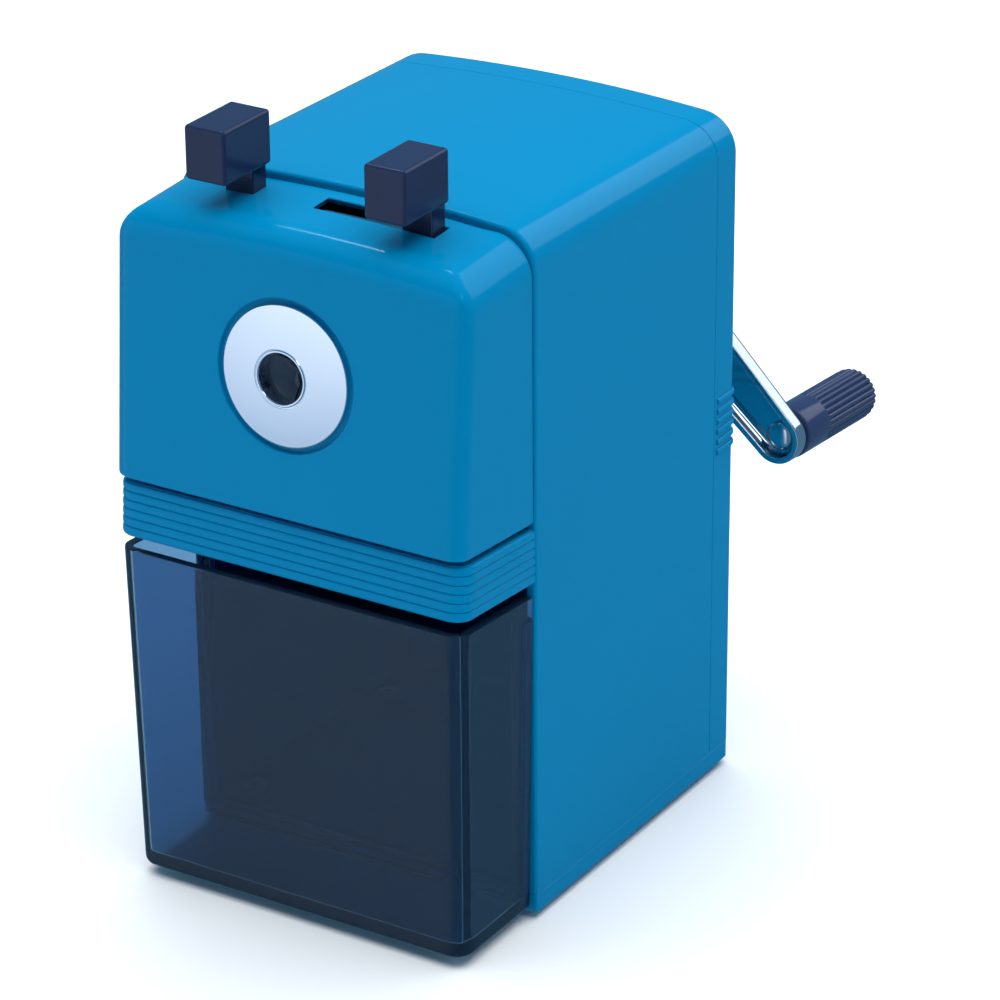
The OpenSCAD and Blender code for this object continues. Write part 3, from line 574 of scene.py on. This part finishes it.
rings = [head_ring(d, d, corner_r, lambda x, s, u=u: np.full(len(x), u))
         for d, u in [(0.6, head_floor), (0.3, head_floor + 0.08), (0.08, head_floor + 0.3),
                      (0, head_floor + 0.6)]]
first_wall = len(rings) - 1
plan = u_plan(head_half, head_face, 30.0, corner_r)
to_side = np.clip((plan[:, 1] - head_face) / corner_r, 0, 1)
edge_r_here = brow_r + (side_r - brow_r) * to_side ** 2 * (3 - 2 * to_side)
wall_steps = 14
for k in range(1, wall_steps + 1):
    share = k / wall_steps
    rings.append(head_ring(0, 0, corner_r, lambda x, s, t=share: (head_floor + 0.6) * (1 - t)
                           + t * (roof_up(x, s) - edge_r_here)))
last_wall = len(rings) - 1
for a in np.radians(np.linspace(0, 90, 13))[1:]:
    shrink_by = 1 - math.cos(a)
    rings.append(head_ring(side_r * shrink_by, brow_r * shrink_by, corner_r * math.cos(a) + 0.02,
                           lambda x, s, a=a: roof_up(x, s) - edge_r_here * (1 - math.sin(a))))
head_skin = np.stack(rings, 1)
flat_from = 14 + 11                        # columns where the front is flat
flat_to = flat_from + 59
verts, quads = patch(on_axis(head_skin))
row_count = head_skin.shape[1]
quad_column, quad_row = quads[:, 0] // row_count, quads[:, 0] % row_count
in_front = ((quad_column >= flat_from) & (quad_column < flat_to)
            & (quad_row >= first_wall) & (quad_row < last_wall))
head_wall = (verts, quads[~in_front])

# the flat front: a ring of quads from its rectangle to the round recess
block = head_skin[flat_from:flat_to + 1, first_wall:last_wall + 1]
border = np.concatenate([block[:-1, 0], block[-1, :-1], block[::-1, -1][:-1], block[0, ::-1][:-1]])
recess_r, recess_s, hole_r = 14.4, 0.6, 6.9
bearing = np.arctan2(border[:, 1], border[:, 0])


def circle_at(radius, station):
    """Points of a circle about the pencil axis, at the border's bearings."""
    return np.stack([radius * np.cos(bearing), radius * np.sin(bearing), np.full(len(bearing), station)], -1)


face_rows = [border * (1 - t) + circle_at(recess_r + 0.3, head_face) * t for t in np.linspace(0, 1, 7)]
face_rows += [circle_at(recess_r + 0.3 - 0.3 * math.sin(a), head_face + 0.3 - 0.3 * math.cos(a))
              for a in np.radians([30, 60, 90])]
face_rows += [circle_at(recess_r, recess_s - 0.15), circle_at(recess_r - 0.15, recess_s),
              circle_at(hole_r, recess_s)]
head_face_patch = patch(on_axis(np.stack(face_rows, 1)), wrap_u=True)

# the roof: a ring of quads from its edge to the slot
slot_low, slot_high = np.array([-2.9, front_y - 8.75]), np.array([22.6, front_y - 3.65])
roof_edge = on_axis(head_skin[:, -1])
rear_count = 50
t = np.linspace(0, 1, rear_count)[1:-1, None]
rear_line = roof_edge[-1] * (1 - t) + roof_edge[0] * t
roof_loop = np.concatenate([roof_edge, rear_line])[:, :2]
lo, hi = roof_loop.min(0), roof_loop.max(0)
unit = (roof_loop - lo) / (hi - lo)
gap_to_sides = np.stack([unit[:, 0], unit[:, 1], 1 - unit[:, 0], 1 - unit[:, 1]], -1)
nearest = gap_to_sides.argmin(1)


def slot_ring(grow, fall):
    """The slot's outline, grown outwards, matched to the roof's edge side by side and laid on the roof."""
    a, b = slot_low - grow, slot_high + grow
    xy = a + unit * (b - a)
    xy[nearest == 0, 0], xy[nearest == 2, 0] = a[0], b[0]
    xy[nearest == 1, 1], xy[nearest == 3, 1] = a[1], b[1]
    return np.column_stack([xy, roof_z(xy[:, 0], xy[:, 1]) - fall])


slot_edge = slot_ring(0.3, 0)
roof_rows = []
for t in np.linspace(0, 1, 8):
    xy = roof_loop * (1 - t) + slot_edge[:, :2] * t
    roof_rows.append(np.column_stack([xy, roof_z(xy[:, 0], xy[:, 1])]))
roof_rows[0] = np.concatenate([roof_edge, rear_line])
roof_rows += [slot_ring(0.15, 0.04), slot_ring(0.04, 0.15), slot_ring(0.0, 0.3)]
roof_patch = patch(np.stack(roof_rows, 1), wrap_u=True)
floor_loop = on_axis(head_skin[:, 0])
piece("chuck_head_cover", [head_wall, head_face_patch, roof_patch, cap(floor_loop)],
      shell_blue, "chuck_head", ["carriage_shell"], wall=1.2, smooth=40)

# ---------------------------------------------------------------- escutcheon
# A pressed disc of satin chrome steel, gently domed, with a rolled lip round the pencil hole.
disc_r, lip_inner_r, dome_r, dome_rise = 13.3, 4.66, 52.0, 2.0796
dome = np.linspace(12.9, 5.54, 14)
dome_s = dome_r - dome_rise - np.sqrt(dome_r ** 2 - dome ** 2)
disc_profile = np.concatenate([
    [(disc_r, 0.58), (disc_r, -0.15), (13.22, -0.33), (13.08, -0.42)],
    np.stack([dome, dome_s], -1),
    [(5.46, -1.73), (5.36, -1.70), (5.28, -1.79), (5.16, -1.90), (5.02, -1.935), (4.88, -1.90), (4.77, -1.80),
     (4.69, -1.66), (lip_inner_r, -1.45), (lip_inner_r, 0.9), (6.2, 0.9), (6.2, 0.58)]])
satin_chrome, chrome_shader, place = finish_named("satin_chrome", Metallic=1.0)
centre_place = place.add("ShaderNodeMapping", {"Vector": place, "Location": tuple(-axis_start * MM)})
distance = centre_place.add("ShaderNodeVectorMath", {0: centre_place}, out=1, operation="LENGTH")
turning = distance.add("ShaderNodeTexNoise", {"W": distance, "Scale": 5200.0, "Detail": 2.0},
                       noise_dimensions="1D")
feed(chrome_shader,
     Base_Color=place.noise(60.0).mix((0.74, 0.80, 0.90, 1), (0.80, 0.86, 0.95, 1)),
     Roughness=0.13 + 0.05 * turning,
     Normal=turning.bump(0.03, 0.00005))
piece("pencil_disc", [patch(revolved(disc_profile, 128), wrap_u=True, wrap_v=True)],
      satin_chrome, "chuck_head", ["escutcheon"], smooth=30)

# ---------------------------------------------------------------- feed springs
# Two wound steel springs on the guide rods, between the bulkhead and the rods' rear clips, built at
# one length on the housing. In use they close up as the chuck head comes forward, and pull the pencil in.
spring_x, spring_r, wire_r, spring_turns = 29.0, 3.0, 0.4, 13
spring_from, spring_to = 28.65, 73.0


def coil(x, ring=8, steps=24):
    """A wire of circular section wound about a guide rod: the winding turns at an even rate along
    the rod, and the wire's section stands across the winding's tangent."""
    t = np.linspace(0, 1, spring_turns * steps + 1)
    a = 2 * math.pi * spring_turns * t
    rise = (spring_to - spring_from - 2 * wire_r) / (2 * math.pi * spring_turns)
    outward = np.stack([np.cos(a), np.sin(a), np.zeros_like(a)], -1)
    tangent = np.stack([-spring_r * np.sin(a), spring_r * np.cos(a), np.full_like(a, rise)], -1)
    tangent /= np.linalg.norm(tangent, axis=1, keepdims=True)
    aside = np.cross(tangent, outward)
    middle = outward * spring_r + np.stack([np.full_like(a, x), np.zeros_like(a),
                                            spring_from + wire_r + rise * a], -1)
    b = np.linspace(0, 2 * math.pi, ring, endpoint=False)[None, :, None]
    wire = middle[:, None] + wire_r * (np.cos(b) * outward[:, None] + np.sin(b) * aside[:, None])
    return on_axis(wire)


spring_steel, spring_shader, place = finish_named("spring_steel", Metallic=1.0)
feed(spring_shader, Base_Color=place.noise(300.0).mix((0.42, 0.43, 0.45, 1), (0.56, 0.57, 0.59, 1)),
     Roughness=0.25 + 0.1 * place.noise(1500.0))
for side, x in (("left", -spring_x), ("right", spring_x)):
    wire = coil(x)
    spring = piece("feed_coil_" + side, [patch(wire, wrap_v=True), cap(wire[0]), cap(wire[-1][::-1])],
                   spring_steel, "housing", ["feed_spring_" + side], smooth=60)
    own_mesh(spring)

# ---------------------------------------------------------------- chuck jaws
# Three navy acetal jaws with polished noses that close on the pencil behind the disc.
navy, navy_shader, place = finish_named("navy_plastic", IOR=1.48, Specular_IOR_Level=0.34)
grain = place.noise(2400.0, 3.0)
feed(navy_shader,
     Base_Color=place.noise(30.0).mix((0.020, 0.031, 0.088, 1), (0.025, 0.038, 0.100, 1)),
     Roughness=0.12 + 0.05 * grain,
     Normal=grain.bump(0.02, 0.0001))
block_navy, block_shader, place = finish_named("block_navy", IOR=1.48, Specular_IOR_Level=0.24)
grain = place.noise(2400.0, 3.0)
feed(block_shader,
     Base_Color=place.noise(30.0).mix((0.012, 0.020, 0.056, 1), (0.015, 0.024, 0.064, 1)),
     Roughness=0.12 + 0.05 * grain,
     Normal=grain.bump(0.02, 0.0001))
jaw_plastic, jaw_shader, place = finish_named("jaw_plastic", IOR=1.5, Roughness=0.12)
feed(jaw_shader, Base_Color=place.noise(90.0).mix((0.085, 0.105, 0.150, 1), (0.100, 0.122, 0.172, 1)),
     Roughness=0.10 + 0.05 * place.noise(1200.0))
for node in ("chuck_jaw_a", "chuck_jaw_b", "chuck_jaw_c"):
    refinish(node, jaw_plastic)


def petal(angle):
    """A third of a bulging funnel about the pencil axis: it runs inwards from its rim and deeper by
    a power of the way, its two flanks fall away from its middle, and its back is flat."""
    inwards = np.linspace(0, 1, 16)[:, None]
    aside = np.linspace(-1, 1, 25)[None, :]
    r = 6.3 - 5.5 * inwards + 0 * aside
    a = np.radians(angle + 58.0 * aside) + 0 * inwards
    s = 1.95 + 3.3 * inwards ** 1.3 + 1.0 * np.abs(aside) ** 2.5
    front = on_axis(np.stack([r * np.cos(a), r * np.sin(a), s], -1))
    rear = on_axis(np.stack([r * np.cos(a), r * np.sin(a), np.full_like(s, 6.45)], -1))
    rims = [np.concatenate([g[0, :-1], g[:-1, -1], g[-1, :0:-1], g[:0:-1, 0]]) for g in (front, rear)]
    return [patch(front), patch(rear), patch(np.stack(rims, 1), wrap_u=True)]


for body, angle in (("jaw_a", 90), ("jaw_b", 210), ("jaw_c", 330)):
    piece(body + "_nose", petal(angle), jaw_plastic, body, smooth=50)

# ---------------------------------------------------------------- finger blocks
# Two navy blocks on flat stems. The left one is fixed to the head; the right one slides along the
# slot with its stem and opens the jaws.


def round_box(low, high, r, steps=9):
    """Six grids of a box, each point moved to the distance r from the box drawn in by r, so that all
    edges and corners are round."""
    low, high = np.asarray(low, float), np.asarray(high, float)
    bend = r * (1 - np.cos(np.linspace(0, 1, steps) * math.pi / 2))
    made = []
    for axis in range(3):
        a, b = [k for k in range(3) if k != axis]
        sa = np.concatenate([low[a] + bend, high[a] - bend[::-1]])
        sb = np.concatenate([low[b] + bend, high[b] - bend[::-1]])
        for end in (low[axis], high[axis]):
            p = np.zeros((len(sa), len(sb), 3))
            p[..., axis] = end
            p[..., a], p[..., b] = sa[:, None], sb[None, :]
            core = np.clip(p, low + r, high - r)
            off = p - core
            length = np.linalg.norm(off, axis=-1, keepdims=True)
            made.append(patch(core + off / np.maximum(length, 1e-9) * r))
    return made


strip_grey, strip_shader, place = finish_named("strip_plastic", Specular_IOR_Level=0.35)
feed(strip_shader, Base_Color=place.noise(80.0).mix((0.015, 0.075, 0.13, 1), (0.022, 0.088, 0.15, 1)),
     Roughness=0.22 + 0.08 * place.noise(1200.0))
rest_low, rest_high = box_mm("finger_rest")
lever_low, lever_high = box_mm("lever_block")
block_size = lever_high - lever_low
left_block_low = np.array([rest_low[0], rest_low[1], rest_high[2] - block_size[2]])
stem_low, stem_high = front_y - 8.4, front_y - 4.0
left_x = (rest_low[0] + rest_high[0]) / 2
right_x = (lever_low[0] + lever_high[0]) / 2
piece("left_finger_block",
      round_box(left_block_low, rest_high, 0.75)
      + round_box((left_x - 3.05, stem_low, head_roof - 1.7),
                  (left_x + 3.05, stem_high, left_block_low[2] + 1), 0.35, 4),
      block_navy, "chuck_head", ["finger_rest"], smooth=50)
piece("right_finger_block",
      round_box(lever_low, lever_high, 0.75)
      + round_box((right_x - 3.1, stem_low - 0.05, head_roof - 4),
                  (right_x + 3.1, stem_high + 0.05, lever_low[2] + 1), 0.35, 4),
      block_navy, "lever", ["lever_block"], smooth=50)
strip_top = head_roof - 2.4
piece("slot_strip", round_box((slot_low[0] - 0.5, stem_low + 0.1, strip_top - 0.8),
                              (21.0, stem_high - 0.1, strip_top), 0.2, 4),
      strip_grey, "lever", smooth=50)

# ---------------------------------------------------------------- drawer
# The see-through tub for the shavings, moulded in smoky navy styrene: a front tray that swells
# to the housing's width, and a narrower tub behind it that slides inside.
drawer_low, drawer_high = box_mm("drawer")
tray_rear = front_y - 0.6
tray_front = front_y - 25.0
tray_lean, tray_draft, tray_r, tray_edge = 1.3, 0.9, 4.2, 1.4
skin_wall, inner_r = 2.2, 0.9
rim_rear = drawer_high[2] - (tray_rear - tray_front) * math.tan(tilt)


def tray_ring(inset, z, rim_lean=1.0):
    """The tray's plan outline at height z: it widens and comes forward towards the top, and its
    heights rise towards the front by rim_lean times the band's tilt."""
    share = (z - drawer_low[2]) / (drawer_high[2] - drawer_low[2])
    half = 37.6 - tray_draft * (1 - share) - inset
    front = tray_front + tray_lean * (1 - share) + inset
    r = tray_r - (tray_r - inner_r) * min(inset / skin_wall, 1)
    ring = lift(u_plan(half, front, tray_rear, r, run=10), z)
    ring[:, 2] += rim_lean * (tray_rear - ring[:, 1]) * math.tan(tilt)
    return ring


inner_floor = drawer_low[2] + skin_wall
climb = np.linspace(0, 1, 13)
tray_rows = [tray_ring(tray_edge * (1 - math.sin(a)), drawer_low[2] + tray_edge * (1 - math.cos(a)), 0)
             for a in np.radians(np.linspace(0, 90, 8))]
outer_z = drawer_low[2] + tray_edge + (rim_rear - 0.4 - drawer_low[2] - tray_edge) * climb
tray_rows += [tray_ring(0, z, t) for z, t in zip(outer_z[1:], climb[1:])]
tray_rows += [tray_ring(d, rim_rear - f)
              for d, f in [(0.12, 0.12), (0.4, 0), (skin_wall - 0.4, 0), (skin_wall - 0.12, 0.12)]]
inner_z = inner_floor + 0.9 + (rim_rear - 0.4 - inner_floor - 0.9) * climb
tray_rows += [tray_ring(skin_wall, z, t) for z, t in zip(inner_z[::-1], climb[::-1])]
tray_rows += [tray_ring(skin_wall + 0.9 - 0.9 * math.cos(a), inner_floor + 0.9 - 0.9 * math.sin(a), 0)
              for a in np.radians(np.linspace(0, 90, 6))[1:]]
tray_skin = np.stack(tray_rows, 1)


def open_tub(skin):
    """A wall of plan outlines from the outer floor over the rim to the inner floor, closed by both
    floors and by the cut faces at its open end."""
    return [patch(skin), cap(skin[:, 0]), cap(skin[::-1, -1]), cap(np.concatenate([skin[0], skin[-1][::-1]]))]


smoke, smoke_shader, place = finish_named(
    "smoky_styrene", Transmission_Weight=0.968, IOR=1.33, Specular_IOR_Level=0.06)
feed(smoke_shader, Base_Color=place.noise(25.0).mix((0.17, 0.44, 0.93, 1), (0.19, 0.47, 0.97, 1)),
     Roughness=0.01 * place.noise(500.0))
absorb = place.add("ShaderNodeVolumeAbsorption", {"Color": (0.45, 0.30, 0.0, 1), "Density": 290.0})
smoke.node_tree.links.new(absorb.socket, smoke.node_tree.nodes["Material Output"].inputs["Volume"])
piece("drawer_tray", open_tub(tray_skin), smoke, "drawer", ["drawer"], smooth=40)

tub_half, tub_back, tub_floor, tub_top = 34.6, front_y + 52, 6.2, rim_rear - 5


def tub_ring(inset, z):
    """The tub's plan outline, open to the front."""
    plan = u_plan(tub_half - inset, -tub_back + inset, -tray_rear, 3.0, run=6) * (1, -1)
    return lift(plan, z)


tub_wall = 1.8
tub_rows = [tub_ring(1.5 - 1.5 * math.sin(a), tub_floor + 1.5 - 1.5 * math.cos(a))
            for a in np.radians(np.linspace(0, 90, 5))]
tub_rows += [tub_ring(d, z) for d, z in [
    (0, 30.0), (0, tub_top - 0.2), (0.2, tub_top), (tub_wall - 0.2, tub_top), (tub_wall, tub_top - 0.2),
    (tub_wall, tub_floor + tub_wall + 1.0)]]
tub_rows += [tub_ring(tub_wall + 1 - math.cos(a), tub_floor + tub_wall + 1 - math.sin(a))
             for a in np.radians(np.linspace(0, 90, 5))[1:]]
tub_skin = np.stack(tub_rows, 1)
# the step between tray and tub: a rib at each side and one across the foot
step_half, step_y0, step_y1 = 36.4, tray_rear - 1.8, tray_rear + 0.2
piece("drawer_tub", open_tub(tub_skin)
      + round_box((-step_half, step_y0, tub_floor), (-tub_half + tub_wall, step_y1, tub_top), 0.3, 4)
      + round_box((tub_half - tub_wall, step_y0, tub_floor), (step_half, step_y1, tub_top), 0.3, 4)
      + round_box((-tub_half, step_y0, drawer_low[2] + 1.2),
                  (tub_half, step_y1, tub_floor + tub_wall), 0.3, 4),
      smoke, "drawer", smooth=40)

# ---------------------------------------------------------------- crank
# A pressed steel channel, chrome plated, open towards the housing. A hexagon nut holds it on the
# shaft, and a rivet carries the handle at its tip.
arm_s, arm_depth, arm_wall = 110.8, 4.0, 1.3
hub_r, tip_r, arm_l = 7.3, 5.1, 54.5
arm_angle = math.radians(-41.5)
pin_centre = (arm_l * math.cos(arm_angle), arm_l * math.sin(arm_angle))


def tear(r0, r1, bend=28, run=20):
    """Closed outline of two circles and their common tangents, turned to the arm's angle."""
    lean = math.degrees(math.asin((r0 - r1) / arm_l))
    hub = arc(r0, 90 - lean, 270 + lean, bend)
    tip = arc(r1, -90 + lean, 90 - lean, bend, (arm_l, 0))
    t = np.linspace(0, 1, run)[1:-1, None]
    outline = np.concatenate([hub, hub[-1] * (1 - t) + tip[0] * t, tip, tip[-1] * (1 - t) + hub[0] * t])
    c, s = math.cos(arm_angle), math.sin(arm_angle)
    return outline @ np.array([[c, s], [-s, c]])


web_s, end_s = arm_s + arm_depth - arm_wall, arm_s + arm_depth
channel = fillet([(5.0, web_s), (arm_wall, web_s), (arm_wall, arm_s), (0.0, arm_s), (0.0, end_s),
                  (5.0, end_s)], [0, 1.0, 0.35, 0.35, 1.3, 0], bend=6)
arm_rows = []
for inset, s in channel:
    outline = tear(hub_r - inset, max(tip_r - inset, 0.05))
    arm_rows.append(np.column_stack([outline, np.full(len(outline), s)]))
plated, plated_shader, place = finish_named("chrome_plate", Metallic=1.0)
feed(plated_shader, Base_Color=place.noise(40.0).mix((0.50, 0.53, 0.58, 1), (0.56, 0.59, 0.64, 1)),
     Roughness=0.07 + 0.05 * place.noise(300.0), Normal=place.noise(220.0).bump(0.02, 0.0003))
arm_skin = np.stack(arm_rows, 1)
piece("crank_arm_channel",
      [patch(on_axis(arm_skin), wrap_u=True), cap(on_axis(arm_skin[:, 0])), cap(on_axis(arm_skin[:, -1]))],
      plated, "crank", ["crank_arm"], smooth=40)


def hexagon(angle):
    """Radius factor of a hexagon with flats at 0.866."""
    return (math.cos(math.pi / 6) / np.cos((angle + math.pi / 6) % (math.pi / 3) - math.pi / 6))[:, None]


def nut_shape(a):
    """Radius factor of the nut: a hexagon, cut to a smaller round limit where it is chamfered."""
    full = hexagon(a) * np.ones((1, len(nut_profile)))
    full[:, :1], full[:, -2:] = 1.0, 1.0
    return np.minimum(full * nut_profile[:, 0], nut_limit) / np.maximum(nut_profile[:, 0], 1e-6)


nut_profile = np.array([(5.2, 115.0), (5.2, 115.05), (5.2, 117.6), (5.2, 118.0), (5.2, 118.4),
                        (3.1, 118.4), (3.0, 118.2)])
nut_limit = np.array([9.0, 9.0, 9.0, 4.95, 4.5, 9.0, 9.0])
piece("crank_cap_nut", [patch(revolved(nut_profile, 72, radius=nut_shape), wrap_u=True, wrap_v=True)],
      plated, "crank", ["crank_nut"], smooth=30)

pin_r, handle_r, handle_s = 2.2, 5.3, arm_s + arm_depth + 0.5
knob_end = handle_s + 29.0
rivet_profile = np.concatenate([
    [(0.0, web_s - 1.62)],
    [(r, web_s - 0.5 - 1.15 * math.sqrt(1 - (r / 3.0) ** 2)) for r in np.linspace(0.3, 2.9, 9)],
    [(3.0, web_s - 0.3), (3.0, web_s), (pin_r, web_s), (pin_r, knob_end - 2.0), (3.1, knob_end - 2.0),
     (3.1, knob_end - 1.2), (2.6, knob_end - 1.0), (0.0, knob_end - 1.0)]])
piece("handle_rivet_pin", [patch(revolved(rivet_profile, 40, pin_centre), wrap_u=True)],
      plated, "crank", ["handle_rivet"], smooth=40)

# ---------------------------------------------------------------- handle
# A turned navy knob: a smooth collar next to the arm, then fine round ribs to the end.
collar, rib_number = 8.4, 26
handle_profile = np.array([
    (pin_r + 0.05, handle_s), (4.7, handle_s), (5.1, handle_s + 0.15), (handle_r, handle_s + 0.6),
    (handle_r, handle_s + collar - 0.25), (handle_r - 0.12, handle_s + collar),
    (handle_r - 0.12, handle_s + collar + 0.3), (handle_r, handle_s + collar + 0.8),
    (handle_r, knob_end - 1.4), (handle_r - 0.15, knob_end - 0.7),
    (handle_r - 0.5, knob_end - 0.2), (handle_r - 1.0, knob_end), (3.45, knob_end), (3.3, knob_end - 0.15),
    (3.3, knob_end - 2.3), (pin_r + 0.05, knob_end - 2.3)])
rib_rows = np.array([0, 0, 0, 0, 0, 0, 0.2, 1, 1, 1, 0.8, 0, 0, 0, 0, 0])


def ribbed(a):
    """Radius factor of round ribs: full at each rib, with narrow grooves between them."""
    wave = np.abs(np.sin(a * rib_number / 2)) ** 0.75
    return 1 - 0.085 * rib_rows[None, :] * (1 - wave[:, None])


piece("handle_knob",
      [patch(revolved(handle_profile, rib_number * 12, pin_centre, ribbed), wrap_u=True, wrap_v=True)],
      navy, "handle", ["handle"], smooth=38)

# ---------------------------------------------------------------- works inside
# Zinc-plated steel, ground tool steel, bearing brass and moulded plastic of the hidden mechanism.
zinc, zinc_shader, place = finish_named("zinc_plate", Metallic=1.0)
feed(zinc_shader, Base_Color=place.noise(120.0).mix((0.50, 0.52, 0.55, 1), (0.62, 0.64, 0.66, 1)),
     Roughness=0.28 + 0.12 * place.noise(700.0), Normal=place.noise(900.0).bump(0.05, 0.0001))
tool, tool_shader, place = finish_named("tool_steel", Metallic=1.0)
feed(tool_shader, Base_Color=place.noise(200.0).mix((0.20, 0.21, 0.23, 1), (0.34, 0.35, 0.37, 1)),
     Roughness=0.30 + 0.15 * place.noise(1500.0), Normal=place.noise(2500.0).bump(0.1, 0.0001))
brass, brass_shader, place = finish_named("bearing_brass", Metallic=1.0)
feed(brass_shader, Base_Color=place.noise(150.0).mix((0.62, 0.44, 0.17, 1), (0.74, 0.56, 0.26, 1)),
     Roughness=0.25 + 0.1 * place.noise(1100.0))
frame_grey, grey_shader, place = finish_named("frame_plastic", Specular_IOR_Level=0.35)
grain = place.noise(1800.0, 3.0)
feed(grey_shader, Base_Color=place.noise(40.0).mix((0.035, 0.038, 0.045, 1), (0.05, 0.054, 0.062, 1)),
     Roughness=0.45 + 0.12 * grain, Normal=grain.bump(0.1, 0.0001))
acetal, acetal_shader, place = finish_named("white_acetal")
feed(acetal_shader, Base_Color=place.noise(60.0).mix((0.66, 0.65, 0.60, 1), (0.72, 0.71, 0.67, 1)),
     Roughness=0.35 + 0.1 * place.noise(900.0))
finish_of_slot = {"steel": zinc, "tool_steel": tool, "brass": brass,
                  "grey_plastic": frame_grey, "acetal": acetal}
for part in frame["record"]["subparts"]:
    if part["material_slot"] in finish_of_slot:
        refinish(part["node"], finish_of_slot[part["material_slot"]])
